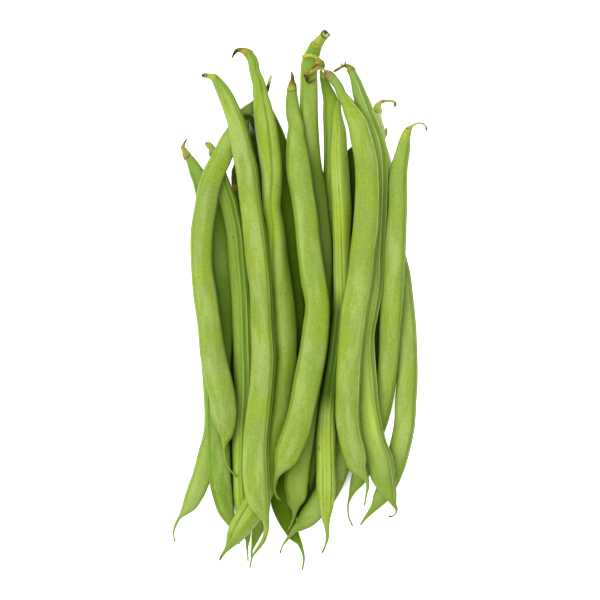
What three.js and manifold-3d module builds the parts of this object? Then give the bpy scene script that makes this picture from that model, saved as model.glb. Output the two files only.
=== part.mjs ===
// A loose bunch of twenty fresh green beans, lying flat with the stalk ends up the +Y axis and the
// tails down it. Nothing ties them: each bean lies on the surface or on the beans laid before it.
//
// A bean is one sweep along a curved centreline, from the tip of its stalk to the tip of its beak. The
// plan of that centreline is given as stations [x, y, half width]. Its height isn't given: lay() finds
// it, by letting the bean down until it touches what is below. The stalk and the pod of one bean share
// the centreline and part at the calyx, so they are two meshes that follow each other.

import * as THREE from "three";
import { mergeVertices } from "three/addons/utils/BufferGeometryUtils.js";
import Module from "manifold-3d";

// ---- Driving dimensions, in millimetres ----

const CLEARANCE = 0.3; // left between two beans that touch
const PRESS = 0.25; // how far a bean that rests on the surface is pressed flat
const CALYX_GAP = 0.3; // left between a stalk and its pod
const SAMPLE_STEP = 2.5; // along a bean, where its height is worked out
const PROBE_STEP = 0.8; // along the beans below, where their tops are looked up
const PROBES_ACROSS = 8; // to each side of a place, where the beans below are looked up
const FINE_STEPS = 400; // steps in which the length of a centreline is measured
const TIP_REACH = 0.4; // how far the end of a sweep stands out past its last ring

// ---- Shape of a bean ----

const ROUND_BELOW = 1.0; // half width under which a bean is round, as a stalk or a beak is
const FLAT_ABOVE = 2.6; // half width from which a pod is as flat as it gets
const SEAM_PINCH = 0.07; // how much the skin beside the seam is drawn in, over the radius
const BACK_PINCH = 0.03; // the same beside the weaker seam at the pod's back
const SAG = 0.0015; // drop of a bean away from a support, over the distance squared
const LIMP_REACH = 45; // length of the two ends of a bean that may hang lower than its middle
const STEEPEST = 0.14; // slope up to which a bean may tip while it is laid
const SLOPE_STEP = 0.005;
const EVENING_ROUNDS = 8; // how often the heights are evened out between the supports

// Angles of the ring's corners, from the seam. They are close to the seam, so that it stays sharp.
const POD_CORNERS = [0, 20, 52, 84, 116, 148, 180, 212, 244, 276, 308, 340];
const STALK_CORNERS = [0, 45, 90, 135, 180, 225, 270, 315];
const LONGEST_BAY = 11; // stations further apart than this get more rings between them

// ---- Colours ----

const LIGHT_GREEN = 0xa3bd5e;
const MID_GREEN = 0x8fb045;
const YELLOW_GREEN = 0xa8c44a;
const OLIVE_GREEN = 0x7f9f3c;
const BLUE_GREEN = 0x6f9b45;
const DRY_STALK = 0x9a7f34;

// ---- The beans, from the bottom of the heap to the top ----
//
// flatness: the thickness of the pod over its width from seam to seam.
// nod: how far the stalk end and the tail hang down, where nothing is under them.
// seam: the side on which the pod's seam lies, in degrees, at places spread evenly from the stalk to
// the tail. 0 is the side towards +X of a bean that runs down the Y axis, 90 is on top and 180 is the
// side towards -X.

const BEANS = [
  // far left, its tail reaching furthest out
  {
    tone: MID_GREEN,
    flatness: 0.85,
    nod: [2, 2],
    seam: [170, 165],
    stalk: [[-32.5, 33.6, 0.3], [-32.9, 31.5, 0.4], [-33.1, 29.7, 1]],
    pod: [
      [-33, 28, 1.5], [-33, 23, 2.4], [-33.5, 15.5, 2.9], [-33, 5, 3.2], [-32.5, -7.5, 3.3],
      [-31.5, -20.5, 3.3], [-30.5, -34.5, 3.3], [-30.5, -46, 3.3], [-32.5, -54, 3.3],
      [-35, -63, 3.3], [-37, -68, 3.1], [-39, -72, 2.4], [-41, -74.5, 1.4], [-42.3, -76.1, 0.7],
      [-43.8, -78.8, 0.5], [-44.6, -81.9, 0.3], [-44.1, -84.7, 0.3],
    ],
  },
  // bottom of the middle, its tail the longest
  {
    tone: OLIVE_GREEN,
    flatness: 0.85,
    nod: [2, 2],
    seam: [10, 5],
    stalk: [[-15.7, 78.8, 0.3], [-14.9, 75.6, 0.4], [-14.2, 73.5, 1]],
    pod: [
      [-13.5, 72, 1.5], [-12, 66, 2.4], [-10, 60.5, 3], [-8, 54.5, 3.3], [-5.5, 42.5, 3.5],
      [-4, 28.5, 3.5], [-2.5, 11, 3.5], [-1.5, -3, 3.5], [-1.5, -17, 3.5], [-3, -34.5, 3.6],
      [-5, -52, 3.8], [-6.5, -64.5, 4], [-6.5, -70.5, 3.9], [-5, -76, 3.3], [-3.5, -80, 2.4],
      [-2, -83, 1.8], [-0.3, -85.4, 0.9], [0.5, -87.5, 0.6], [1.2, -90.6, 0.4], [0.7, -94.5, 0.3],
    ],
  },
  // left of the middle, mostly hidden
  {
    tone: OLIVE_GREEN,
    flatness: 0.85,
    nod: [2, 2],
    seam: [15, 10],
    stalk: [[-22.4, 49.7, 0.3], [-22.6, 48.3, 0.5], [-22.8, 47.1, 0.8]],
    pod: [
      [-23, 45.5, 1], [-23, 43, 1.3], [-22.5, 40, 1.6], [-21.5, 37, 1.9], [-19.5, 31, 2.2],
      [-17, 23, 2.7], [-15, 13.5, 2.9], [-14, 4, 3], [-13.5, -10, 3.1], [-13.5, -27.5, 3.1],
      [-14, -45, 3.1], [-14.5, -59, 3.1], [-15, -74, 2.9], [-15, -80, 2.2], [-16, -84, 1.3],
      [-16.6, -86.3, 0.7], [-17, -87.8, 0.4], [-17.2, -90.3, 0.3],
    ],
  },
  // left, with the dark blue-green skin
  {
    tone: BLUE_GREEN,
    flatness: 0.85,
    nod: [2, 2],
    seam: [170, 165],
    stalk: [[-39.9, 56.5, 0.3], [-40.9, 54.8, 0.5], [-41.3, 53.5, 0.8], [-40.6, 52.3, 1.1]],
    pod: [
      [-40, 51, 1.3], [-38.5, 49, 1.6], [-37, 46, 2.2], [-35, 42, 2.8], [-33, 36, 3.4],
      [-30.5, 28.5, 3.9], [-29, 19.5, 4.1], [-28, 5.5, 4.1], [-28, -13.5, 4.1], [-29, -31, 3.8],
      [-29, -45, 3.8], [-28.5, -55.5, 3.8], [-28, -63.5, 3.7], [-27, -69.5, 3.3], [-26, -74, 2.7],
      [-24.5, -77.5, 1.8], [-23.4, -80, 1], [-22.4, -81.7, 0.5], [-21.7, -83.3, 0.3],
      [-21.5, -85.4, 0.3],
    ],
  },
  // right, under the row that lies there
  {
    tone: MID_GREEN,
    flatness: 0.8,
    nod: [2, 2],
    seam: [5, 0],
    stalk: [[30.2, 60.2, 0.5], [29.8, 59, 0.8], [28.5, 55.6, 0.5], [26.5, 50.8, 0.5], [25.5, 48.1, 1]],
    pod: [
      [25, 46, 1.5], [24.5, 41.5, 2.4], [24, 33.5, 3.1], [23.5, 21.5, 3.7], [23, 7.5, 4],
      [21.5, -6.5, 4], [20, -20.5, 4], [18, -34.5, 4], [16, -47, 4], [13.5, -57.5, 4], [11, -64, 4],
      [8.5, -68.5, 4], [5, -73.5, 3.8], [2.5, -76.5, 3.3], [0, -79, 2.1], [-2, -80.5, 1.2],
      [-3.3, -82.2, 0.7], [-4.9, -84.2, 0.5], [-6.3, -86.3, 0.3], [-7.1, -88.7, 0.3],
    ],
  },
  // far right, its tail hooked inwards
  {
    tone: MID_GREEN,
    flatness: 0.85,
    nod: [2, 2],
    seam: [20, 10],
    stalk: [
      [33.2, 68.1, 0.5], [33.2, 69.3, 0.5], [32.2, 69.9, 0.5], [30.4, 70, 0.5], [29, 69.8, 0.6],
      [27.8, 69.1, 0.9], [27.2, 68.1, 1.3],
    ],
    pod: [
      [27, 66.5, 1.5], [26.5, 63.5, 2], [27, 59, 2.6], [27, 55.5, 2.8], [28, 51, 3],
      [29.5, 44, 3.1], [31, 36.5, 3.3], [33, 18, 3.3], [35, 9, 3.4], [36, 0.5, 3.5], [37, -10, 3.5],
      [37.5, -22.5, 3.5], [37, -34.5, 3.6], [36.5, -43.5, 3.6], [35, -51, 3.6], [33, -58.5, 3.5],
      [30.5, -65, 3.1], [28, -69.5, 2.6], [26.5, -72, 1.7], [24.5, -74.5, 1], [23.3, -75.9, 0.7],
      [22.2, -77.3, 0.5], [21.2, -78.9, 0.3],
    ],
  },
  // short, under the knot of the stalks
  {
    tone: OLIVE_GREEN,
    flatness: 0.82,
    nod: [2, 2],
    seam: [165, 170],
    stalk: [[7.2, 81, 0.4], [7.4, 79.8, 0.7]],
    pod: [
      [8, 78.5, 1.2], [9, 75, 1.7], [10.5, 70.5, 2.4], [11, 65, 2.9], [11.5, 56.5, 3.1],
      [11.5, 47.5, 3.1], [11, 39, 3.2], [10.5, 30, 3.3], [10.5, 19.5, 3.3], [10, 4, 3.2],
      [10, -10, 3.1], [10, -24, 3.1], [10, -34.5, 3], [9.5, -41.5, 2.7], [9.5, -46.5, 1.8],
      [9.1, -49.7, 0.8], [9.2, -52.1, 0.5], [9.6, -55.3, 0.3],
    ],
  },
  // right of the middle, short, under the gap between two of the top ones
  {
    tone: OLIVE_GREEN,
    flatness: 0.85,
    nod: [2, 2],
    seam: [15, 12],
    stalk: [[21.7, 55.6, 0.3], [20.8, 54.8, 0.5], [19.9, 54.1, 0.9]],
    pod: [
      [19, 53, 1.3], [18, 51.5, 1.8], [17.5, 49.5, 2.2], [17.5, 45, 2.4], [17.5, 35.5, 2.6],
      [17, 21.5, 2.7], [16, 0.5, 2.6], [14.5, -10, 2.5], [14, -17, 2.1], [13.5, -21.5, 1.2],
      [13.5, -24.1, 0.6], [13.6, -26.9, 0.4], [14, -29.7, 0.3],
    ],
  },
  // under the middle of the heap, in the gap between its neighbours on the floor
  {
    tone: OLIVE_GREEN,
    flatness: 0.85,
    nod: [2, 2],
    seam: [165, 170],
    stalk: [[3.1, 62.6, 0.3], [3.1, 61.2, 0.5], [3.3, 59.8, 0.9]],
    pod: [
      [3.5, 58.5, 1.3], [3.5, 56, 1.8], [3.5, 53, 2.2], [4, 47.5, 2.4], [4, 39, 2.6],
      [4, 28.5, 2.6], [4, 18, 2.4], [4.5, 4, 2.2], [4.5, -6.5, 2.2], [4.5, -17, 2.2],
      [4.5, -26, 2.4], [4, -34.5, 2.6], [3.5, -45, 2.8], [3.5, -52, 2.8], [3.5, -56.5, 2.5],
      [3.5, -59.5, 2], [3.5, -62.5, 1.3], [3.6, -64.4, 0.6], [3.5, -66.1, 0.3],
    ],
  },
  // left of the middle, short, under the gap between two of the top ones
  {
    tone: OLIVE_GREEN,
    flatness: 0.85,
    nod: [2, 2],
    seam: [15, 12],
    stalk: [[-17.8, 62.3, 0.3], [-17.6, 61.1, 0.5], [-17.3, 59.8, 0.8]],
    pod: [
      [-17, 58.5, 1.2], [-16, 55.5, 1.8], [-15, 51.5, 2.2], [-14, 46, 2.5], [-12.5, 39, 2.6],
      [-11, 30, 2.7], [-10, 19.5, 2.7], [-8.5, 5.5, 2.6], [-7.5, -8.5, 2.5], [-7.5, -16.5, 2.4],
      [-8, -21.5, 1.8], [-8, -25.5, 1], [-8.3, -29, 0.6], [-8.4, -32.5, 0.3],
    ],
  },
  // right, its neck bent out to the side
  {
    tone: LIGHT_GREEN,
    flatness: 0.85,
    nod: [4, 1],
    seam: [15, 10],
    stalk: [
      [44.1, 59.5, 0.3], [44.1, 60.7, 0.4], [43.2, 61.8, 0.3], [41.6, 62.1, 0.3], [40.2, 61.7, 0.4],
      [39, 60.9, 0.6], [38.1, 60, 1.2],
    ],
    pod: [
      [37.5, 59, 1.4], [36.5, 55.5, 2], [36, 52.5, 2.3], [34.5, 46, 2.9], [34, 40.5, 3.2],
      [34, 34, 3.2], [33.5, 25.5, 3.5], [33, 18, 3.8], [32.5, 9, 3.9], [32, 0.5, 3.9],
      [31.5, -10, 3.7], [31, -19.5, 3.5], [29.5, -32, 3.4], [27.5, -41.5, 3.3], [25.5, -47.5, 3.3],
      [23.5, -54, 3.3], [21.5, -60, 3.1], [20, -63.5, 2.4], [18.5, -66.5, 1.4], [17.6, -68.9, 0.7],
      [16.9, -71, 0.4], [16.7, -73.8, 0.3], [17.1, -76.6, 0.3], [18.2, -79.1, 0.3],
    ],
  },
  // left, leaning in from a cut neck
  {
    tone: MID_GREEN,
    flatness: 0.92,
    nod: [2, 2],
    seam: [65, 85],
    stalk: [[-33.1, 55, 0.9], [-32, 54.2, 1.1], [-31.1, 53.1, 1.3]],
    pod: [
      [-30.5, 51.5, 1.5], [-29, 47, 2], [-27.5, 41.5, 2.6], [-25, 33.5, 3.1], [-23, 24, 3.1],
      [-22, 13.5, 3.3], [-21, 2, 3.4], [-20.5, -12, 3.5], [-20, -24, 3.6], [-20, -34.5, 3.6],
      [-20.5, -45, 3.5], [-20.5, -54, 3.5], [-20.5, -62.5, 3.5], [-20, -70.5, 3.4],
      [-19.5, -76.5, 3], [-19, -81, 1.9], [-18.5, -84, 0.9], [-18.7, -86.4, 0.5],
      [-18.5, -89.2, 0.3], [-18.4, -91.3, 0.3],
    ],
  },
  // the bent neck at the very top, then down through the middle
  {
    tone: MID_GREEN,
    flatness: 0.82,
    nod: [2, 3],
    seam: [165, 170],
    stalk: [[8.8, 93.4, 1.5], [7.8, 92.4, 1.5], [6.6, 91, 1.8]],
    pod: [
      [5.5, 89.5, 2.1], [4.5, 87, 2.4], [3.5, 84.5, 2.7], [3, 81, 2.8], [3, 75.5, 2.9],
      [3, 70.5, 3], [3, 63.5, 3.1], [3.5, 54.5, 3.1], [4, 47.5, 3.3], [5.5, 39, 3.5],
      [6.5, 28.5, 3.6], [7.5, 18, 3.7], [7, 4, 3.8], [5.5, -15.5, 3.8], [3, -33, 3.8],
      [0.5, -50.5, 4], [-1, -59, 4.2], [-1.5, -64.5, 4.2], [-1.5, -68.5, 3.6], [-2, -71.5, 2.5],
      [-2, -73.5, 1.3], [-2.3, -75.8, 0.6], [-3.3, -78.8, 0.4], [-4.6, -81.2, 0.3],
    ],
  },
  // left, a long and flat one
  {
    tone: LIGHT_GREEN,
    flatness: 0.78,
    nod: [3, 3],
    seam: [160, 175],
    stalk: [
      [-10.3, 78.9, 0.4], [-10.8, 77, 0.4], [-11.3, 74.9, 0.5], [-12.1, 72.4, 0.6],
      [-13.5, 70.7, 0.9],
    ],
    pod: [
      [-15, 69.5, 1.3], [-17, 67.5, 1.8], [-19.5, 65, 2.3], [-22, 60.5, 2.7], [-25, 55.5, 3.1],
      [-27.5, 50, 3.4], [-30, 45, 3.6], [-32, 39, 3.8], [-33, 33, 3.8], [-34.5, 23, 3.8],
      [-34.5, 11.5, 3.7], [-33.5, 3, 4], [-32, -7.5, 4], [-30.5, -19.5, 4.4], [-28.5, -28, 4.5],
      [-27, -35, 4.5], [-26.5, -40, 4.4], [-26, -44.5, 3.3], [-26, -47.5, 2.2], [-26.5, -50, 1.1],
      [-26.7, -52.1, 0.5], [-26.4, -54.9, 0.4], [-25.4, -58.1, 0.4], [-24, -60.2, 0.3],
      [-22.2, -61.6, 0.3],
    ],
  },
  // middle, standing on its edge, with the seam on top
  {
    tone: YELLOW_GREEN,
    flatness: 0.92,
    nod: [2, 3],
    seam: [130, 130, 118, 104, 92, 84, 84],
    stalk: [[14.9, 73.8, 0.3], [14.2, 71.9, 0.5], [13.6, 70.5, 0.6]],
    pod: [
      [13.3, 69.1, 0.9], [13, 67, 1.3], [13, 64, 1.8], [13.5, 59.5, 2.4], [13.5, 53, 2.8],
      [14, 42.5, 3.2], [14.5, 32.5, 3.3], [14.5, 23, 3], [14.5, 11.5, 3], [14.5, 0.5, 3],
      [13.5, -10, 3], [11, -27.5, 3.1], [9.5, -38, 3.2], [9, -48.5, 3.7], [9, -59, 3.7],
      [9, -66, 3.7], [9, -70.5, 3.1], [9, -74, 2.4], [9, -76.5, 1.6], [9.2, -79.1, 1],
      [9.4, -81.5, 0.7], [9.4, -83.5, 0.6], [8.8, -85.8, 0.4], [7.7, -88.5, 0.3],
    ],
  },
  // right, with the spiky calyx
  {
    tone: LIGHT_GREEN,
    flatness: 0.88,
    nod: [2.5, 2],
    seam: [60, 54, 47, 32, 42, 22, 30],
    stalk: [
      [11.8, 80.3, 0.5], [12.9, 80.8, 0.5], [14.2, 81.7, 0.5], [15.6, 82.2, 0.6], [16.6, 82, 0.9],
    ],
    pod: [
      [17.5, 81, 1.3], [18.5, 79, 1.5], [19.5, 76.5, 1.9], [20.5, 73, 2.3], [22, 68.5, 2.7],
      [23.5, 63.5, 3.1], [25.5, 58, 3.2], [27, 52, 3.2], [27.5, 44, 3.1], [27.5, 35.5, 2.8],
      [27, 26.5, 2.8], [26, 16.5, 3], [25.5, 6.5, 3.2], [24, -3, 3.3], [22.5, -12, 3.3],
      [22.5, -20.5, 3.5], [23, -29.5, 3.7], [23.5, -36.5, 3.7], [24.5, -43.5, 3.8],
      [26, -50.5, 3.9], [28, -56.5, 4.1], [29, -62, 4], [30.5, -66, 2.9], [32, -69.5, 1.8],
      [32.9, -71.8, 0.9], [33.7, -73.5, 0.5], [33.2, -75.1, 0.3], [32.2, -75.8, 0.3],
      [31.1, -75.8, 0.3],
    ],
  },
  // middle, with a groove down its top and a long tail
  {
    tone: YELLOW_GREEN,
    flatness: 0.98,
    nod: [3, 4],
    seam: [66, 73, 86, 106, 134, 134, 130, 122, 112],
    stalk: [
      [-23.9, 84.9, 0.3], [-23.2, 86.3, 0.5], [-22.2, 87.4, 0.8], [-21, 87.6, 1],
      [-19.8, 87.3, 1.3],
    ],
    pod: [
      [-18.5, 86.5, 1.5], [-17, 84.5, 1.9], [-16, 80, 2], [-14.5, 75.5, 2.4], [-14, 72, 2.8],
      [-13, 66, 3.6], [-12, 60, 4.2], [-11, 53, 4.2], [-10, 44, 4], [-10, 38, 3.7],
      [-10, 32.5, 3.4], [-9, 26.5, 3.4], [-8.5, 20.5, 3.7], [-7.5, 10, 3.9], [-6.5, 1, 4],
      [-5.5, -12, 4.1], [-5.5, -22, 3.9], [-6.5, -29.5, 3.7], [-7.5, -38, 3.8], [-9, -46, 3.8],
      [-10.5, -54.5, 4], [-12, -62.5, 4.1], [-14.5, -69, 4.2], [-18, -75, 4.3], [-21, -79.5, 3.9],
      [-23.5, -83.5, 2.8], [-25, -86, 1.4], [-26.2, -87.7, 0.8], [-27.3, -89.2, 0.6],
      [-28.3, -91, 0.3],
    ],
  },
  // middle, its neck bent to the left
  {
    tone: LIGHT_GREEN,
    flatness: 0.78,
    nod: [3, 3],
    seam: [175, 170],
    stalk: [[-3.1, 80.1, 0.3], [-2.8, 78.6, 0.6], [-2.8, 77, 0.8], [-2.9, 75.8, 1.4]],
    pod: [
      [-3, 74, 1.6], [-3, 70.5, 2.1], [-2.5, 65, 2.5], [-1.5, 61, 2.7], [-1.5, 57.5, 3.1],
      [-1, 51.5, 3.9], [-0.5, 45, 4.3], [0.5, 38.5, 4.1], [2, 29.5, 4.1], [3, 19, 4.2],
      [4.5, 7.5, 4.3], [6, -2, 4.2], [5.5, -9.5, 4.5], [4.5, -18, 4.7], [2.5, -28, 4.7],
      [0.5, -38, 4.5], [-1.5, -46, 4.7], [-3.5, -51, 4.5], [-5, -54.5, 4.2], [-6.5, -57.5, 3],
      [-7.5, -59.5, 1.8], [-8.5, -61.6, 1], [-9.1, -63.5, 0.7], [-9.2, -65.8, 0.6],
      [-8.7, -67.9, 0.5], [-7.8, -69.3, 0.4], [-6.9, -69.8, 0.3],
    ],
  },
  // right, its neck reaching up to the twig
  {
    tone: LIGHT_GREEN,
    flatness: 0.78,
    nod: [7, 3],
    seam: [15, 12],
    stalk: [[8.5, 80.7, 0.6], [9.1, 80, 1], [10, 79.2, 1.4]],
    pod: [
      [11, 78, 1.5], [13.5, 74.5, 1.6], [14.5, 72, 1.7], [16.5, 69, 2.2], [18, 66, 2.8],
      [20, 62, 3.4], [21.5, 56.5, 3.8], [23, 49.5, 4.1], [23.5, 42.5, 4.2], [23.5, 35.5, 4.3],
      [23, 26.5, 4.4], [22, 18, 4.4], [21, 9, 4.4], [19.5, 0, 4.5], [18, -11, 4.4], [17, -23, 4.2],
      [16.5, -33, 4.1], [16.5, -41.5, 4.1], [17.5, -48.5, 4], [19, -54, 4], [20.5, -59, 2.9],
      [22, -61, 1.6], [23.3, -63.2, 0.8], [23.6, -65.1, 0.6], [23.1, -67.9, 0.4],
      [22.5, -71.8, 0.3],
    ],
  },
  // on top of the heap, lying across it
  {
    tone: LIGHT_GREEN,
    flatness: 0.8,
    nod: [5, 4],
    seam: [20, 25],
    stalk: [[-34.3, 78.8, 0.5], [-33.1, 78.7, 0.8], [-31.9, 78.5, 1]],
    pod: [
      [-30.5, 78, 1.3], [-28.5, 75.5, 1.9], [-26.5, 72, 2.4], [-24.5, 67.5, 2.7], [-22, 60.5, 3.1],
      [-20.5, 53, 3.5], [-19, 46.5, 3.7], [-18, 38, 3.6], [-16.5, 26.5, 3.8], [-15, 13.5, 4],
      [-14, 4, 3.8], [-13.5, -9.5, 3.9], [-13, -19.5, 4.1], [-13.5, -29.5, 4.1],
      [-14.5, -39.5, 4.2], [-15.5, -48.5, 4.3], [-15.5, -61, 4.4], [-15, -67, 4.2],
      [-14, -71.5, 3.5], [-13, -74.5, 2.2], [-12, -77.5, 1.2], [-12, -80.8, 0.9],
      [-13.1, -84.2, 0.8], [-15, -87, 0.6], [-16.7, -89.4, 0.4], [-17.6, -93.3, 0.3],
    ],
  },
];

// The twig that carried two of the beans: an arched stem up to the stalk of one of them, a stub with a
// cut end and a curled thread. rise: how far a strand climbs along its last stretch.
const TWIG_STRANDS = [
  {
    rise: 1,
    stations: [
      [0.9, 85.2, 0.9], [1.9, 85.6, 0.6], [3.5, 85.9, 0.6], [5.1, 85.4, 0.6], [6.3, 84.4, 0.8],
      [7.2, 83, 1.3], [8.2, 81.6, 0.8],
    ],
  },
  {
    rise: 0,
    stations: [[1.9, 78.2, 1.1], [2.5, 79.1, 0.8], [4.2, 80.3, 0.7], [6, 81.3, 0.7], [7.4, 82.6, 1]],
  },
  {
    rise: 0,
    stations: [[5.2, 77.4, 0.4], [4.1, 76.7, 0.4], [2.9, 76.1, 0.4], [2.1, 77.2, 0.4], [2.2, 78.6, 0.7]],
  },
];

const ROUND_TWIG = { seam: [0, 0], flatness: 1, nod: [0, 0] };

const { lerp, smoothstep, clamp, degToRad } = THREE.MathUtils;

/** Value at a share of the way along a list whose entries are spread evenly. */
function spread(list, share) {
  const place = share * (list.length - 1);
  const whole = Math.min(Math.floor(place), list.length - 2);
  return lerp(list[whole], list[whole + 1], place - whole);
}

/** One cross-section: an oval that is long from seam to seam, turned so that the seam looks its way. */
class Section {
  constructor(long, short, seamAngle) {
    this.long = long;
    this.short = short;
    this.cos = Math.cos(seamAngle);
    this.sin = Math.sin(seamAngle);
    this.halfWidth = Math.hypot(long * this.cos, short * this.sin);
    this.halfHeight = Math.hypot(long * this.sin, short * this.cos);
    this.lean = ((long ** 2 - short ** 2) * this.sin * this.cos) / this.halfWidth ** 2;
    this.swell = (long * short) / this.halfWidth ** 2;
  }

  /** The section of a pod, which is round where it is thin. */
  static ofPod(halfWidth, flatness, seamAngle) {
    const body = smoothstep(halfWidth, ROUND_BELOW, FLAT_ABOVE);
    const slim = lerp(1, flatness, body);
    const long = halfWidth / Math.hypot(Math.cos(seamAngle), slim * Math.sin(seamAngle));
    const section = new Section(long, long * slim, seamAngle);
    section.pinch = body;
    return section;
  }

  /** The section with room for the clearance all round it. */
  grown() {
    return new Section(this.long + CLEARANCE, this.short + CLEARANCE, Math.atan2(this.sin, this.cos));
  }

  /** Height of the upper (+1) or lower (-1) skin over the centre, at an offset across the bean. */
  skin(offset, side) {
    const room = Math.max(0, this.halfWidth ** 2 - offset ** 2);
    return this.lean * offset + side * this.swell * Math.sqrt(room);
  }

  /** The corner at an angle from the seam, as [across, up]. */
  corner(degrees) {
    const angle = degToRad(degrees);
    const besideSeam = Math.max(0, 1 - Math.abs(Math.cos(angle) - 0.94) / 0.06);
    const besideBack = Math.max(0, 1 - Math.abs(Math.cos(angle) + 0.85) / 0.15);
    const drawnIn = 1 - this.pinch * (SEAM_PINCH * besideSeam + BACK_PINCH * besideBack);
    const along = this.long * Math.cos(angle) * drawnIn;
    const over = this.short * Math.sin(angle) * drawnIn;
    return [along * this.cos - over * this.sin, along * this.sin + over * this.cos];
  }
}

/** A centreline with its widths. The curve's third coordinate carries the half width. */
class Strand {
  constructor(stations, { seam, flatness, nod } = ROUND_TWIG) {
    this.curve = new THREE.CatmullRomCurve3(
      stations.map(([x, y, halfWidth]) => new THREE.Vector3(x, y, halfWidth)),
      false,
      "centripetal",
    );
    this.seam = seam;
    this.flatness = flatness;
    this.nod = nod;
    this.lengths = [0];
    const fine = this.curve.getPoints(FINE_STEPS);
    for (let i = 1; i < fine.length; i++) {
      const step = Math.hypot(fine[i].x - fine[i - 1].x, fine[i].y - fine[i - 1].y);
      this.lengths.push(this.lengths[i - 1] + step);
    }
    this.length = this.lengths[FINE_STEPS];
    this.heights = null;
  }

  /** Distance along the strand of its station number index. */
  distanceOfStation(index) {
    const place = (index / (this.curve.points.length - 1)) * FINE_STEPS;
    const whole = Math.min(Math.floor(place), FINE_STEPS - 1);
    return lerp(this.lengths[whole], this.lengths[whole + 1], place - whole);
  }

  /** Distances of the rings from one station to another: one at each station, and more in long bays. */
  ringDistances(first, last) {
    const distances = [this.distanceOfStation(first)];
    for (let index = first + 1; index <= last; index++) {
      const start = this.distanceOfStation(index - 1);
      const bay = this.distanceOfStation(index) - start;
      const parts = Math.ceil(bay / LONGEST_BAY);
      for (let part = 1; part <= parts; part++) distances.push(start + (bay * part) / parts);
    }
    return distances;
  }

  /** Centre, direction across and section of the strand at a distance along it. */
  at(distance) {
    const wanted = clamp(distance, 0, this.length);
    let i = 1;
    while (i < FINE_STEPS && this.lengths[i] < wanted) i++;
    const share = (wanted - this.lengths[i - 1]) / Math.max(1e-9, this.lengths[i] - this.lengths[i - 1]);
    const t = (i - 1 + share) / FINE_STEPS;
    const centre = this.curve.getPoint(t);
    const ahead = this.curve.getPoint(Math.min(1, t + 1e-3));
    const behind = this.curve.getPoint(Math.max(0, t - 1e-3));
    const run = new THREE.Vector2(ahead.x - behind.x, ahead.y - behind.y).normalize();
    const seamAngle = degToRad(spread(this.seam, wanted / this.length));
    return {
      distance: wanted,
      x: centre.x,
      y: centre.y,
      across: new THREE.Vector2(-run.y, run.x),
      run,
      section: Section.ofPod(centre.z, this.flatness, seamAngle),
      z: this.heights ? spread(this.heights, wanted / this.length) : 0,
    };
  }


  /** Height of the laid strand's upper skin over a point of the plan, or minus infinity beside it. */
  topAt(x, y) {
    let top = -Infinity;
    for (const probe of this.probes) {
      const dx = x - probe.x;
      const dy = y - probe.y;
      if (Math.abs(dx * probe.run.x + dy * probe.run.y) > PROBE_STEP) continue;
      const offset = dx * probe.across.x + dy * probe.across.y;
      if (Math.abs(offset) > probe.section.halfWidth) continue;
      top = Math.max(top, probe.z + probe.section.skin(offset, 1));
    }
    return top;
  }

  /** Evenly spaced places, about a step apart. */
  places(step) {
    const count = Math.ceil(this.length / step);
    return Array.from({ length: count + 1 }, (_, i) => this.at((this.length * i) / count));
  }
}

// ---- Laying the heap ----

/** The lowest height of the centre at which a place clears the surface and the strands laid before. */
function lowestClear(place, laid) {
  const roomy = place.section.grown();
  let lowest = place.section.halfHeight - PRESS;
  for (let probe = -PROBES_ACROSS; probe <= PROBES_ACROSS; probe++) {
    const offset = (roomy.halfWidth * probe) / PROBES_ACROSS;
    const x = place.x + place.across.x * offset;
    const y = place.y + place.across.y * offset;
    const underside = roomy.skin(offset, -1);
    for (const other of laid) lowest = Math.max(lowest, other.topAt(x, y) - underside);
  }
  return lowest;
}

/** How much lower an end hangs, at a distance from its tip. */
function droop(fromTip, nod) {
  return nod * Math.max(0, 1 - fromTip / LIMP_REACH) ** 2;
}

/** Lets a strand down. It tips until its weight lies lowest, and sags a little away from its supports. */
function lay(strand, laid) {
  const places = strand.places(SAMPLE_STEP);
  const needs = places.map((place) => lowestClear(place, laid));
  let lowestLoad = Infinity;
  for (let slope = -STEEPEST; slope <= STEEPEST; slope += SLOPE_STEP) {
    const heights = places.map(({ distance }) => {
      const lifts = needs.map((need, j) => {
        const away = distance - places[j].distance;
        return need + slope * away - SAG * away ** 2;
      });
      return Math.max(...lifts);
    });
    const load = heights.reduce((sum, z, i) => sum + z * places[i].section.halfWidth ** 2, 0);
    if (load < lowestLoad) {
      lowestLoad = load;
      strand.heights = heights;
    }
  }
  strand.heights = strand.heights.map((z, i) => {
    const { distance } = places[i];
    return z - droop(distance, strand.nod[0]) - droop(strand.length - distance, strand.nod[1]);
  });
  for (let round = 0; round < EVENING_ROUNDS; round++) {
    strand.heights = strand.heights.map((z, i, all) => {
      const between = i > 0 && i < all.length - 1 ? (all[i - 1] + all[i + 1]) / 2 : z;
      return Math.max(needs[i], between);
    });
  }
  strand.probes = strand.places(PROBE_STEP);
}

// ---- Meshes ----

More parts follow.
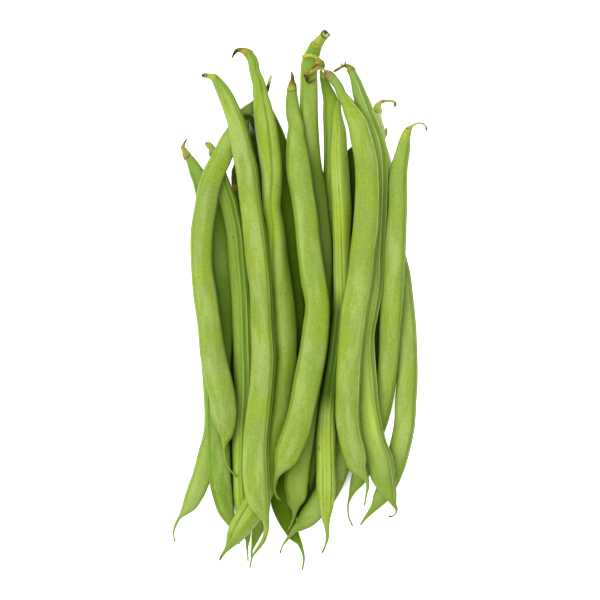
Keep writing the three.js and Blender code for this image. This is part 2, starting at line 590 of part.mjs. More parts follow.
/** A closed tube round a strand with upright rings at the given distances, and fans as its end faces. */
function sweep(strand, distances, corners, reachStart, reachEnd) {
  const positions = [];
  const addPoint = (place, across, up, ahead = 0) =>
    positions.push(
      place.x + place.across.x * across + place.run.x * ahead,
      place.y + place.across.y * across + place.run.y * ahead,
      Math.max(0, place.z + up),
    );
  for (const distance of distances) {
    const place = strand.at(distance);
    for (const degrees of corners) addPoint(place, ...place.section.corner(degrees));
  }
  addPoint(strand.at(distances[0]), 0, 0, -reachStart);
  addPoint(strand.at(distances.at(-1)), 0, 0, reachEnd);

  const sides = corners.length;
  const startPole = distances.length * sides;
  const endPole = startPole + 1;
  const lastRing = startPole - sides;
  const index = [];
  for (let k = 0; k < sides; k++) {
    const next = (k + 1) % sides;
    index.push(startPole, next, k, endPole, lastRing + k, lastRing + next);
    for (let ring = 0; ring < lastRing; ring += sides) {
      index.push(ring + k, ring + next, ring + sides + k);
      index.push(ring + next, ring + sides + next, ring + sides + k);
    }
  }
  const geometry = new THREE.BufferGeometry();
  geometry.setAttribute("position", new THREE.Float32BufferAttribute(positions, 3));
  geometry.setIndex(index);
  geometry.computeVertexNormals();
  return geometry;
}

function namedMesh(name, geometry, colour, roughness) {
  const material = new THREE.MeshStandardMaterial({ color: colour, roughness, metalness: 0 });
  const mesh = new THREE.Mesh(geometry, material);
  mesh.name = name;
  return mesh;
}

/** Lays one bean and returns its two meshes. */
function makeBean(bean, number, laid) {
  const stations = [...bean.stalk, ...bean.pod];
  const strand = new Strand(stations, bean);
  lay(strand, laid);
  laid.push(strand);
  const label = String(number).padStart(2, "0");
  const neck = bean.stalk.length;
  const podRings = strand.ringDistances(neck, stations.length - 1);
  const stalkRings = [...strand.ringDistances(0, neck - 1), podRings[0] - CALYX_GAP];
  const stalk = sweep(strand, stalkRings, STALK_CORNERS, TIP_REACH, 0);
  const pod = sweep(strand, podRings, POD_CORNERS, 0, TIP_REACH);
  return [
    namedMesh(`stalk_${label}`, stalk, DRY_STALK, 0.8),
    namedMesh(`pod_${label}`, pod, bean.tone, 0.55),
  ];
}

/** The twig lies over the beans. Its strands start at one height, so that they meet at their node. */
function makeTwig(laid) {
  const strands = TWIG_STRANDS.map(({ stations }) => new Strand(stations));
  const places = strands.flatMap((strand) => strand.places(SAMPLE_STEP));
  const height = Math.max(...places.map((place) => lowestClear(place, laid)));
  const solids = strands.map((strand, i) => {
    strand.heights = [height, height, height, height + TWIG_STRANDS[i].rise];
    const rings = strand.ringDistances(0, strand.curve.points.length - 1);
    return solidOf(sweep(strand, rings, STALK_CORNERS, TIP_REACH, TIP_REACH));
  });
  const joined = solids.reduce((whole, solid) => whole.add(solid));
  return namedMesh("flower_twig", geometryOf(joined), DRY_STALK, 0.8);
}

function solidOf(geometry) {
  const bare = geometry.clone();
  bare.deleteAttribute("normal");
  const merged = mergeVertices(bare);
  return new wasm.Manifold(
    new wasm.Mesh({
      numProp: 3,
      vertProperties: merged.attributes.position.array,
      triVerts: new Uint32Array(merged.index.array),
    }),
  );
}

function geometryOf(solid) {
  const { vertProperties, triVerts, numProp, numVert } = solid.getMesh();
  const positions = new Float32Array(numVert * 3);
  for (let i = 0; i < numVert; i++) {
    positions.set(vertProperties.subarray(i * numProp, i * numProp + 3), i * 3);
  }
  const geometry = new THREE.BufferGeometry();
  geometry.setAttribute("position", new THREE.BufferAttribute(positions, 3));
  geometry.setIndex(new THREE.BufferAttribute(triVerts, 1));
  geometry.computeVertexNormals();
  return geometry;
}

// ---- The bundle ----

const wasm = await Module();
wasm.setup();

const heap = new THREE.Group();
const laid = [];
BEANS.forEach((bean, i) => heap.add(...makeBean(bean, i + 1, laid)));
heap.add(makeTwig(laid));

// The origin is the middle of the bundle's outline, on the surface that it lies on.
const middle = new THREE.Box3().setFromObject(heap).getCenter(new THREE.Vector3());
heap.position.set(-middle.x, -middle.y, 0);

const bundle = new THREE.Group();
bundle.add(heap);
export default bundle;
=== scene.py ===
"""A bundle of twenty fresh green beans: finer pods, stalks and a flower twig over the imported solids.

Sizes are in millimetres, apart from the studio's.
"""

import logging
import math
from collections.abc import Sequence
from dataclasses import dataclass, field
from enum import Enum
from typing import Any

import bmesh
import bpy
import numpy as np
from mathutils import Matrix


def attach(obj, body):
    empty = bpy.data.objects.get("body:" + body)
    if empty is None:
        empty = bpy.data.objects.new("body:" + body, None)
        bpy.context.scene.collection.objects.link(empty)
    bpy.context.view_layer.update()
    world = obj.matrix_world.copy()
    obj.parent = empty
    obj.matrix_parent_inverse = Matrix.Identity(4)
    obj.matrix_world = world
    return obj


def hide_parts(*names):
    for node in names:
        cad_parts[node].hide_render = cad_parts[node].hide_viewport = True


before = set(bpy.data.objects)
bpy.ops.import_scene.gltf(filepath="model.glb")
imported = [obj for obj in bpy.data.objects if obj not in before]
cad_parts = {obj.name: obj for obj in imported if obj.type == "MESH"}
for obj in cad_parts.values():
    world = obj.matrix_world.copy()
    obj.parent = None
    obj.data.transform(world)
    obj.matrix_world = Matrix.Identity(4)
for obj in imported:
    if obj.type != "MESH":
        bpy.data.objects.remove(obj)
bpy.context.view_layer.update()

LOG = logging.getLogger("beans")
MM = 0.001
WELD = 5e-6  # metres between corners that are one

POD_CORNERS = 12
STALK_CORNERS = 8
CORNER_NEAR_TOP = 3  # the pod ring's corner at 84 degrees from the seam
CORNER_OPPOSITE = 6
CORNER_NEAR_BOTTOM = 9
NEAR_TOP_ANGLE = math.radians(84)
LEAST_SEAM = -0.5  # angle under which a seam's angle is given a full turn more, so that it never jumps

Stops = Sequence[tuple[float, float]]  # (position, value) pairs of a grey ramp

# Inputs and outputs of Blender's Mix node when it mixes colours.
FACTOR, FIRST, SECOND, MIXED = 0, 6, 7, 2


# ---- Colour and nodes ----


def linear(hex_colour: str) -> tuple[float, float, float, float]:
    """Turns an sRGB hex colour to linear RGBA.

    Args:
        hex_colour: six hex digits.

    Returns:
        Red, green, blue and an alpha of 1.
    """
    parts = [int(hex_colour[i : i + 2], 16) / 255 for i in (0, 2, 4)]
    red, green, blue = (
        c / 12.92 if c <= 0.04045 else ((c + 0.055) / 1.055) ** 2.4 for c in parts
    )
    return red, green, blue, 1.0


def add_node(
    tree: bpy.types.NodeTree,
    kind: str,
    inputs: dict[str | int, Any] | None = None,
    stops: Stops | None = None,
    **settings: Any,
) -> bpy.types.Node:
    """Adds a shader node.

    Args:
        tree: the material's or world's node tree.
        kind: the node's Blender type.
        inputs: for each input, a socket to link from, or a value to set.
        stops: grey (position, value) stops, for a colour ramp.
        settings: the node's own properties.

    Returns:
        The node.
    """
    node = tree.nodes.new(kind)
    for name, value in settings.items():
        setattr(node, name, value)
    for key, value in (inputs or {}).items():
        if isinstance(value, bpy.types.NodeSocket):
            tree.links.new(value, node.inputs[key])
        else:
            node.inputs[key].default_value = value
    if stops:
        ramp = node.color_ramp
        ramp.interpolation = "EASE"
        for _ in range(len(stops) - 2):
            ramp.elements.new(0.5)
        for element, (position, value) in zip(ramp.elements, stops):
            element.position = position
            element.color = (value, value, value, 1)
    return node


def new_material(name: str) -> bpy.types.Material:
    """Adds a material with an empty node tree.

    Args:
        name: the material's name.

    Returns:
        The material.
    """
    made = bpy.data.materials.new(name)
    made.use_nodes = True
    made.node_tree.nodes.clear()
    return made


def per_mm(size: float) -> float:
    """Scale of a noise on Object coordinates whose grain is size millimetres across."""
    return 1 / (size * MM)


# ---- Paths read from the solids ----


def eased(knots: np.ndarray, values: np.ndarray, at: np.ndarray) -> np.ndarray:
    """Smooth curve through values.

    Args:
        knots: increasing distances, one for each value.
        values: the values, as rows.
        at: distances at which the curve is read, of any shape.

    Returns:
        The curve's values, shaped as at with the values' own axis added.
    """
    widths = np.diff(knots)
    slopes = np.diff(values, axis=0) / widths[:, None]
    before, after = widths[:-1, None], widths[1:, None]
    inner = (slopes[:-1] * after + slopes[1:] * before) / (before + after)
    tangents = np.vstack([slopes[:1], inner, slopes[-1:]])
    index = np.clip(np.searchsorted(knots, at, side="right") - 1, 0, len(widths) - 1)
    width = widths[index][..., None]
    t = (np.clip(at, knots[0], knots[-1]) - knots[index])[..., None] / width
    t2, t3 = t * t, t * t * t
    return (
        (2 * t3 - 3 * t2 + 1) * values[index]
        + (t3 - 2 * t2 + t) * width * tangents[index]
        + (3 * t2 - 2 * t3) * values[index + 1]
        + (t3 - t2) * width * tangents[index + 1]
    )


def smoothstep(low: float, high: float, value: np.ndarray) -> np.ndarray:
    """Rises from 0 at low to 1 at high, eased at both ends. It falls where low is above high."""
    t = np.clip((value - low) / (high - low), 0, 1)
    return t * t * (3 - 2 * t)


def hump(distance: np.ndarray, width: float) -> np.ndarray:
    """A smooth hump, 1 high at distance 0 and a third of that at width."""
    return np.exp(-((distance / width) ** 2))


def rings_of(node: str, corners: int) -> np.ndarray:
    """Reads the rings of a swept solid.

    Args:
        node: name of the CAD node.
        corners: corners of one ring.

    Returns:
        Points of shape (rings, corners, 3) in millimetres, from the end up the +Y axis to the other.
    """
    bm = bmesh.new()
    bm.from_mesh(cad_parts[node].data)
    bmesh.ops.remove_doubles(bm, verts=bm.verts, dist=WELD)
    poles = [v for v in bm.verts if len(v.link_edges) == corners]
    start = max(poles, key=lambda v: v.co.y)
    seen = {start}
    members = {e.other_vert(start) for e in start.link_edges}
    rings: list[list[bmesh.types.BMVert]] = []
    while len(members) == corners:
        ring = [min(members, key=lambda v: v.index)]
        while len(ring) < corners:
            near = [e.other_vert(ring[-1]) for e in ring[-1].link_edges]
            ring.append(next(v for v in near if v in members and v not in ring))
        rings.append(ring)
        seen |= members
        members = {
            e.other_vert(v) for v in ring for e in v.link_edges if e.other_vert(v) not in seen
        }
    points = np.array([[v.co / MM for v in ring] for ring in rings])
    bm.free()
    return points


def in_plane(ring: np.ndarray, middle: np.ndarray, across: np.ndarray) -> np.ndarray:
    """The ring's corners as (across, up) offsets from its middle."""
    offset = ring - middle
    return np.stack([offset @ across, offset[:, 2]], axis=1)


def turned_from_seam(ring: np.ndarray, across: np.ndarray) -> np.ndarray:
    """Puts a pod ring's corners in order.

    Args:
        ring: the corners, in either direction round and from any start.
        across: unit vector across the pod, in plan.

    Returns:
        The corners from the seam, turning from across towards up.
    """
    flat = in_plane(ring, ring.mean(axis=0), across)
    following = np.roll(flat, -1, axis=0)
    if np.sum(flat[:, 0] * following[:, 1] - flat[:, 1] * following[:, 0]) < 0:
        ring, flat = ring[::-1], flat[::-1]
    edges = np.linalg.norm(np.roll(flat, -1, axis=0) - flat, axis=1)
    seam = int(np.argmin(edges + np.roll(edges, 1)))
    return np.roll(ring, -seam, axis=0)


@dataclass
class Place:
    """Centres, directions and sizes of the sections at some distances along a bean, in millimetres."""

    centre: np.ndarray
    across: np.ndarray
    long: np.ndarray
    short: np.ndarray
    seam: np.ndarray

    def point(self, along_seam: np.ndarray, over: np.ndarray) -> np.ndarray:
        """Point of a section.

        Args:
            along_seam: offset from the centre towards the seam.
            over: offset square to that, turned from across towards up.

        Returns:
            The points, lifted to the surface where they would be under it.
        """
        cos, sin = np.cos(self.seam), np.sin(self.seam)
        sideways = along_seam * cos - over * sin
        up = along_seam * sin + over * cos
        points = self.centre + self.across * sideways[..., None]
        points[..., 2] = np.maximum(points[..., 2] + up, 0)
        return points


class BeanPath:
    """Centreline and sections of one bean, from the tip of its stalk to the tip of its beak."""

    STEP = 0.25  # distance ahead and behind from which its direction is read
    LEAST_RADIUS = 0.12

    def __init__(self, number: int) -> None:
        """Reads the rings of the stalk and of the pod.

        Args:
            number: number of the bean.
        """
        stalk = rings_of(f"stalk_{number:02d}", STALK_CORNERS)
        pod = rings_of(f"pod_{number:02d}", POD_CORNERS)
        neck = pod[0].mean(axis=0)
        first, last = (np.linalg.norm(ring.mean(axis=0) - neck) for ring in (stalk[0], stalk[-1]))
        if first < last:
            stalk = stalk[::-1]
        stalk = stalk[:-1]
        middles = np.vstack([stalk.mean(axis=1), pod.mean(axis=1)])
        runs = np.gradient(middles[:, :2], axis=0)
        runs /= np.linalg.norm(runs, axis=1)[:, None]
        acrosses = np.stack([-runs[:, 1], runs[:, 0], np.zeros(len(runs))], axis=1)
        rows = [self._round_row(r, a) for r, a in zip(stalk, acrosses)]
        rows += [self._pod_row(r, a) for r, a in zip(pod, acrosses[len(stalk) :])]
        table = np.array(rows)
        table[: len(stalk), 5] = table[len(stalk), 5]
        steps = np.linalg.norm(np.diff(table[:, :3], axis=0), axis=1)
        self.knots = np.concatenate([[0], np.cumsum(steps)])
        self.table = table
        self.joint = float(self.knots[len(stalk)])
        self.end = float(self.knots[-1])

    @staticmethod
    def _round_row(ring: np.ndarray, across: np.ndarray) -> list[float]:
        """Measures a ring of the stalk.

        Args:
            ring: its corners.
            across: unit vector across the stalk, in plan.

        Returns:
            Centre, two equal radii and a seam angle of 0.
        """
        sideways = (ring - ring.mean(axis=0)) @ across
        radius = float(np.ptp(sideways) / 2)
        middle = ring.mean(axis=0)
        return [middle[0], middle[1], ring[:, 2].max() - radius, radius, radius, 0.0]

    @staticmethod
    def _pod_row(ring: np.ndarray, across: np.ndarray) -> list[float]:
        """Measures a ring of the pod.

        Args:
            ring: its corners.
            across: unit vector across the pod, in plan.

        Returns:
            Centre, half length and half thickness of the oval and its seam angle.
        """
        corners = turned_from_seam(ring, across)
        centre = (corners[0] + corners[CORNER_OPPOSITE]) / 2
        flat = in_plane(corners, centre, across)
        to_seam = flat[0]
        long = float(np.hypot(*to_seam))
        upper = max((CORNER_NEAR_TOP, CORNER_NEAR_BOTTOM), key=lambda i: flat[i, 1])
        over = flat[upper] - to_seam * math.cos(NEAR_TOP_ANGLE)
        short = float(np.hypot(*over)) / math.sin(NEAR_TOP_ANGLE)
        seam = math.atan2(to_seam[1], to_seam[0])
        return [*centre, long, short, seam % (2 * math.pi) if seam < LEAST_SEAM else seam]

    def at(self, distance: np.ndarray) -> Place:
        """Reads the sections at some distances.

        Args:
            distance: distances along the bean, as an array of any shape.

        Returns:
            Their places. Past an end, the direction is that at the end.
        """
        values = eased(self.knots, self.table, distance)
        inside = np.clip(distance, 0, self.end)
        ahead = eased(self.knots, self.table[:, :2], np.minimum(inside + self.STEP, self.end))
        behind = eased(self.knots, self.table[:, :2], np.maximum(inside - self.STEP, 0))
        run = ahead - behind
        run /= np.linalg.norm(run, axis=-1)[..., None]
        across = np.stack([-run[..., 1], run[..., 0], np.zeros(run.shape[:-1])], axis=-1)
        long, short = (np.maximum(values[..., column], self.LEAST_RADIUS) for column in (3, 4))
        return Place(values[..., :3], across, long, short, values[..., 5])


# ---- Tubes ----


class Tube:
    """A closed tube whose rings and corners are numbered, ready to be given its shape."""

    def __init__(self, name: str, rings: int, corners: int) -> None:
        """Makes a straight tube.

        Args:
            name: name of the piece.
            rings: number of rings along it.
            corners: number of corners round it.
        """
        bm = bmesh.new()
        bmesh.ops.create_cone(
            bm, cap_ends=True, cap_tris=True, segments=corners, radius1=1, radius2=1, depth=1
        )
        sides = [e for e in bm.edges if abs(e.verts[0].co.z - e.verts[1].co.z) > 0.5]
        bmesh.ops.subdivide_edges(bm, edges=sides, cuts=rings - 2, use_grid_fill=True)
        bmesh.ops.recalc_face_normals(bm, faces=bm.faces)
        self.mesh = bpy.data.meshes.new(name)
        bm.to_mesh(self.mesh)
        bm.free()
        co = np.empty(len(self.mesh.vertices) * 3, np.float32)
        self.mesh.vertices.foreach_get("co", co)
        co = co.reshape(-1, 3)
        self.ring = np.rint((co[:, 2] + 0.5) * (rings - 1)).astype(int)
        turn = np.arctan2(co[:, 1], co[:, 0]) / (2 * math.pi) * corners
        first = float(np.mod(turn, 1)[np.hypot(co[:, 0], co[:, 1]) > 0.5][0])
        self.corner = np.rint(turn - first).astype(int) % corners
        self.pole = np.hypot(co[:, 0], co[:, 1]) < 0.5
        self.name = name

    def pick(self, grid: np.ndarray, poles: tuple[Any, Any]) -> np.ndarray:
        """Values for the vertices.

        Args:
            grid: one value for each ring and corner.
            poles: the values of the first and the last pole.

        Returns:
            One value for each vertex.
        """
        values = grid[self.ring, self.corner].astype(np.float32)
        values[self.pole & (self.ring == 0)] = poles[0]
        values[self.pole & (self.ring > 0)] = poles[1]
        return values

    def shape(self, points: np.ndarray) -> None:
        """Moves the vertices into place.

        Args:
            points: where they go, of shape (rings, corners, 3), in millimetres.
        """
        placed = self.pick(points, (points[0].mean(axis=0), points[-1].mean(axis=0)))
        self.mesh.vertices.foreach_set("co", (placed * MM).ravel())
        self.mesh.polygons.foreach_set("use_smooth", [True] * len(self.mesh.polygons))
        self.mesh.update()

    def mark(self, name: str, grid: np.ndarray) -> None:
        """Stores a number, a vector or a colour for each vertex.

        Args:
            name: the mark's name, by which a material reads it.
            grid: one value for each ring and corner.
        """
        kinds = {1: ("FLOAT", "value"), 3: ("FLOAT_VECTOR", "vector"), 4: ("FLOAT_COLOR", "color")}
        kind, key = kinds[1 if grid.ndim == 2 else grid.shape[2]]
        attribute = self.mesh.attributes.new(name, kind, "POINT")
        values = self.pick(grid, (grid[0].mean(axis=0), grid[-1].mean(axis=0)))
        attribute.data.foreach_set(key, values.ravel())

    def piece(self, material: bpy.types.Material) -> bpy.types.Object:
        """Puts the tube in the scene.

        Args:
            material: its finish.

        Returns:
            The finished object.
        """
        self.mesh.materials.append(material)
        made = bpy.data.objects.new(self.name, self.mesh)
        bpy.context.scene.collection.objects.link(made)
        return made


def join(mesh: bpy.types.Mesh, tubes: list[Tube]) -> None:
    """Takes tubes, with their marks, into a mesh.

    Args:
        mesh: the mesh that grows.
        tubes: the tubes, whose own meshes are deleted.
    """
    bm = bmesh.new()
    bm.from_mesh(mesh)
    for tube in tubes:
        bm.from_mesh(tube.mesh)
        bpy.data.meshes.remove(tube.mesh)
    bm.to_mesh(mesh)
    bm.free()


def ripple(rng: np.random.Generator, along: np.ndarray, turn: np.ndarray, grain: float) -> np.ndarray:
    """Smooth unevenness over a tube, between about -1 and 1.

    Args:
        rng: source of the phases.
        along: distances along the tube, in millimetres.
        turn: angles round it, in radians.
        grain: size of the unevenness along the tube, in millimetres.

    Returns:
        The unevenness, shaped as along and turn together.
    """
    total = np.zeros(np.broadcast(along, turn).shape)
    for waves in (1, 2, 3, 4):
        pace = rng.uniform(0.7, 1.5) * 2 * math.pi / grain
        phase, start = rng.uniform(0, 2 * math.pi, 2)
        total += np.sin(along * pace + start) * np.cos(turn * waves + phase) / 2
    return total


# ---- Finishes ----


@dataclass(frozen=True)
class Layer:
    """A colour, as hex or socket, that shows as much as a grey ramp of its source says."""

    source: bpy.types.NodeSocket
    stops: Stops
    colour: Any
    mask: bpy.types.NodeSocket | None = None


def layered(tree: bpy.types.NodeTree, base: Any, layers: list[Layer]) -> bpy.types.NodeSocket:
    """Lays colours over each other.

    Args:
        tree: the material's node tree.
        base: hex or socket of the lowest colour.
        layers: the colours over it, from the lowest.

    Returns:
        The socket of the finished colour.
    """
    colour = linear(base) if isinstance(base, str) else base
    for layer in layers:
        amount = add_node(tree, "ShaderNodeValToRGB", {"Fac": layer.source}, layer.stops).outputs["Color"]
        if layer.mask:
            inputs = {0: amount, 1: layer.mask}
            amount = add_node(tree, "ShaderNodeMath", inputs, operation="MULTIPLY").outputs["Value"]
        upper = linear(layer.colour) if isinstance(layer.colour, str) else layer.colour
        inputs = {FACTOR: amount, FIRST: colour, SECOND: upper}
        colour = add_node(tree, "ShaderNodeMix", inputs, data_type="RGBA").outputs[MIXED]
    return colour


SEAM_SPAN = 4.0  # distance from a seam at which the skin's mark for it reaches 1
END_SPAN = 40.0  # the same from the neck and from the tail


@dataclass(frozen=True)
class PodSkin:
    """Skin of a fresh French bean: waxy, satin, finely mottled, with paler cords beside its seam.

    The wax gives it a broad soft shine with no sharp highlight. The green is not even: it drifts over
    some 15 mm, is streaked along the pod, and is mottled at under 1 mm. The thin tissue lets a little
    light through. Some of its colour is painted light: the deeper green at its flanks is partly painted
    shade and bounce light, and stretches of the pod that neighbouring beans shade get painted shade.
    """

    base: str
    warm: str
    cool: str
    deep: str = "66881C"
    pale: str = "99AF48"
    bloom: str = "AEBC74"
    cord: str = "A9BC58"
    shade: str = "4A6A12"
    # Green of the painted shade laid along the pod where neighbouring beans shade it.
    painted_shade_colour: str = "3C560C"
    neck: str = "6C8C30"
    beak: str = "6F8A26"
    # Deeper, more saturated green at both flanks: partly the skin's own colour, partly painted shade and
    # bounce light from the neighbours.
    flank_tint_and_shade: str = "6A8A0E"
    flank_tint_and_shade_shows: float = 0.7
    bloom_shows: float = 0.3
    painted_shade: Stops = ((0, 0), (1, 0))  # painted shade along the pod, where neighbouring beans shade it
    cord_gap: float = 0.9
    cord_shows: float = 0.7
    groove_shows: float = 0.6
    flute_shows: float = 0.3
    back_shows: float = 0.4
    neck_shows: float = 0.7
    neck_span: float = 11.0
    drift: float = 0.0  # moves the patterns, so that no two beans are alike
    wax: float = 1.28  # index of refraction: lower for a duller skin

    WARM_PATCH = 17.0
    COOL_PATCH = 11.0
    MATT_PATCH = 4.0
    FRECKLE = 2.6
    SPECK = 6.5
    SPECK_COLOUR = "4E5F22"
    BRUSHED, BRUSH_SQUEEZE = 4.2, 0.22  # width of the soft streaks, and how drawn out they are
    STREAK, BREAK, STREAK_SQUEEZE = 1.3, 1.1, 0.07  # the same of the fibres and of the breaks in a seam
    # A bean's real mottle is about 0.2 mm and its pores are about 0.05 mm across. A pixel of the render
    # is 0.35 mm, so both are drawn as coarse as they need to show.
    MOTTLE = 0.6
    PORE = 0.35
    STRAIGHT_DRIFT = 20  # drift of the patterns that follow the pod, over that of the others
    ROUGH = (0.52, 0.66)

    def material(self, name: str) -> bpy.types.Material:
        """Builds the material, which reads the marks that Pod leaves on its mesh.

        Args:
            name: the material's name.

        Returns:
            The material.
        """
        made = new_material(name)
        tree = made.node_tree
        marks = {
            mark: add_node(tree, "ShaderNodeAttribute", attribute_name=mark).outputs
            for mark in ("skin", "straight", "from_tail", "share", "body", "blemish_and_painted_shade")
        }
        patterns = self.patterns(tree, marks["straight"]["Vector"])
        inputs = {"Value": patterns["matt"], "To Min": self.ROUGH[0], "To Max": self.ROUGH[1]}
        rough = add_node(tree, "ShaderNodeMapRange", inputs).outputs["Result"]
        inputs = {"Height": patterns["pore"], "Strength": 0.35, "Distance": 0.03 * MM}
        pores = add_node(tree, "ShaderNodeBump", inputs).outputs["Normal"]
        inputs = {"Height": patterns["mottle"], "Strength": 0.35, "Distance": 0.06 * MM, "Normal": pores}
        shader = add_node(
            tree,
            "ShaderNodeBsdfPrincipled",
            {
                "Base Color": layered(tree, self.base, self.layers(tree, marks, patterns)),
                "Roughness": rough,
                "IOR": self.wax,
                "Subsurface Weight": 0.12,
                "Subsurface Radius": (1.0, 1.4, 0.3),
                "Subsurface Scale": 0.6 * MM,
                "Normal": add_node(tree, "ShaderNodeBump", inputs).outputs["Normal"],
            },
        )
        add_node(tree, "ShaderNodeOutputMaterial", {"Surface": shader.outputs["BSDF"]})
        return made

    def patterns(
        self, tree: bpy.types.NodeTree, straight: bpy.types.NodeSocket
    ) -> dict[str, bpy.types.NodeSocket]:
        """Adds the uneven patterns of the skin.

        Args:
            tree: the material's node tree.
            straight: place on the pod as if it were straight, in millimetres.

        Returns:
            The grey of each pattern, by its name.
        """
        here = add_node(tree, "ShaderNodeTexCoord").outputs["Object"]
        along = self.STRAIGHT_DRIFT * self.drift
        shifted, streaked, brushed = (
            add_node(
                tree,
                "ShaderNodeMapping",
                {"Vector": vector, "Location": (shift, shift, 0), "Scale": (1, 1, squeeze)},
            ).outputs["Vector"]
            for vector, shift, squeeze in (
                (here, self.drift, 1),
                (straight, along, self.STREAK_SQUEEZE),
                (straight, along, self.BRUSH_SQUEEZE),
            )
        )
        noises = {
            "warm": (shifted, per_mm(self.WARM_PATCH), 2),
            "cool": (here, per_mm(self.COOL_PATCH), 2),
            "freckle": (shifted, per_mm(self.FRECKLE), 3),
            "brush": (brushed, 1 / self.BRUSHED, 3),
            "streak": (streaked, 1 / self.STREAK, 3),
            "broken": (streaked, 1 / self.BREAK, 2),
            "mottle": (here, per_mm(self.MOTTLE), 2),
            "matt": (here, per_mm(self.MATT_PATCH), 2),
            "pore": (here, per_mm(self.PORE), 2),
        }
        made = {}
        for name, (vector, scale, detail) in noises.items():
            inputs = {"Vector": vector, "Scale": scale, "Detail": detail, "Roughness": 0.55}
            made[name] = add_node(tree, "ShaderNodeTexNoise", inputs).outputs["Fac"]
        inputs = {"Vector": shifted, "Scale": per_mm(self.SPECK)}
        made["speck"] = add_node(tree, "ShaderNodeTexVoronoi", inputs).outputs["Distance"]
        return made

    def layers(
        self, tree: bpy.types.NodeTree, marks: dict[str, Any], patterns: dict[str, bpy.types.NodeSocket]
    ) -> list[Layer]:
        """Lists the colours over the base.

        Args:
            tree: the material's node tree.
            marks: the outputs of the node that reads each mark.
            patterns: the grey of each pattern.

        Returns:
            The layers, from the lowest.
        """
        body = marks["body"]["Fac"]
        from_seam, from_back, from_neck = add_node(
            tree, "ShaderNodeSeparateXYZ", {"Vector": marks["skin"]["Vector"]}
        ).outputs
        unbroken = add_node(
            tree, "ShaderNodeValToRGB", {"Fac": patterns["broken"]}, ((0.36, 0.35), (0.6, 1))
        ).outputs["Color"]
        lines = add_node(
            tree, "ShaderNodeMath", {0: unbroken, 1: body}, operation="MULTIPLY"
        ).outputs["Value"]
        cord = self.cord_gap / 2 / SEAM_SPAN
        flute = ((cord + 0.06, 0), (cord + 0.13, self.flute_shows), (cord + 0.3, 0))
        cords = ((0, 0), (max(cord - 0.09, 0.005), 0), (cord, self.cord_shows), (cord + 0.09, 0))
        groove = ((0, self.groove_shows), (max(cord * 0.75, 0.03), 0))
        flank_tint_and_shade = ((0.1, self.flank_tint_and_shade_shows), (0.62, 0))
        neck = ((0, self.neck_shows), (self.neck_span / END_SPAN, 0))
        return [
            Layer(patterns["warm"], ((0.4, 0), (0.62, 0.85)), self.warm),
            Layer(patterns["cool"], ((0.48, 0), (0.68, 0.6)), self.cool),
            Layer(patterns["freckle"], ((0.5, 0), (0.7, 0.5)), self.warm),
            Layer(patterns["brush"], ((0.42, 0), (0.62, self.bloom_shows)), self.bloom),
            Layer(patterns["streak"], ((0.52, 0), (0.75, 0.2)), self.deep),
            Layer(patterns["mottle"], ((0.32, 0.35), (0.5, 0)), self.deep),
            Layer(patterns["mottle"], ((0.5, 0), (0.7, 0.35)), self.pale),
            # Deeper green at both flanks: partly the skin's own colour, partly painted shade and bounce
            # light from the neighbours.
            Layer(from_seam, flank_tint_and_shade, self.flank_tint_and_shade, body),
            Layer(from_back, flank_tint_and_shade, self.flank_tint_and_shade, body),
            # Painted shade along the pod, where neighbouring beans shade it.
            Layer(marks["share"]["Fac"], self.painted_shade, self.painted_shade_colour),
            Layer(from_neck, neck, self.neck),
            Layer(marks["from_tail"]["Fac"], ((0.1, 0.85), (0.4, 0)), self.beak),
            Layer(from_seam, flute, self.shade, lines),
            Layer(from_seam, cords, self.cord, lines),
            Layer(from_seam, groove, self.shade, lines),
            Layer(from_back, ((0, self.back_shows), (0.12, 0)), self.cord, body),
            Layer(patterns["speck"], ((0.035, 0.55), (0.06, 0)), self.SPECK_COLOUR),
            # Scars and specks, patches of painted shade, and the beak's end.
            Layer(marks["blemish_and_painted_shade"]["Alpha"], ((0, 0), (1, 1)), marks["blemish_and_painted_shade"]["Color"]),
        ]


@dataclass(frozen=True)
class DryStem:
    """Drying stalk of a bean: a thin, ribbed, woody skin that is matt and turns from green to brown."""

    rough: float = 0.72
    grain: float = 0.35  # the real fibres are 0.1 mm wide, finer than a pixel, so they are drawn coarser
    patch: float = 1.6

    def material(self, name: str) -> bpy.types.Material:
        """Builds the material, which reads the colour that is stored on the mesh.

        Args:
            name: the material's name.

        Returns:
            The material.
        """
        made = new_material(name)
        tree = made.node_tree
        here = add_node(tree, "ShaderNodeTexCoord").outputs["Object"]
        tone = add_node(tree, "ShaderNodeAttribute", attribute_name="tone").outputs["Color"]
        grain, patch = (
            add_node(
                tree,
                "ShaderNodeTexNoise",
                {"Vector": here, "Scale": per_mm(size), "Detail": 3, "Roughness": 0.55},
            ).outputs["Fac"]
            for size in (self.grain, self.patch)
        )
        drying = Layer(patch, ((0.5, 0), (0.72, 0.25)), "7A6018")
        fibres = Layer(grain, ((0.35, 0.4), (0.55, 0)), "4A4010")
        colour = layered(tree, tone, [drying, fibres])
        inputs = {"Height": grain, "Strength": 0.6, "Distance": 0.08 * MM}
        bump = add_node(tree, "ShaderNodeBump", inputs).outputs["Normal"]
        inputs = {"Base Color": colour, "Roughness": self.rough, "IOR": 1.3, "Normal": bump}
        shader = add_node(tree, "ShaderNodeBsdfPrincipled", inputs)
        add_node(tree, "ShaderNodeOutputMaterial", {"Surface": shader.outputs["BSDF"]})
        return made


class Tone(Enum):
    """The record's slots for the skins of the pods."""

    LIGHT = "pod_skin_light"
    MID = "pod_skin_mid"
    YELLOW = "pod_skin_yellow"
    OLIVE = "pod_skin_olive"
    BLUE = "pod_skin_blue"


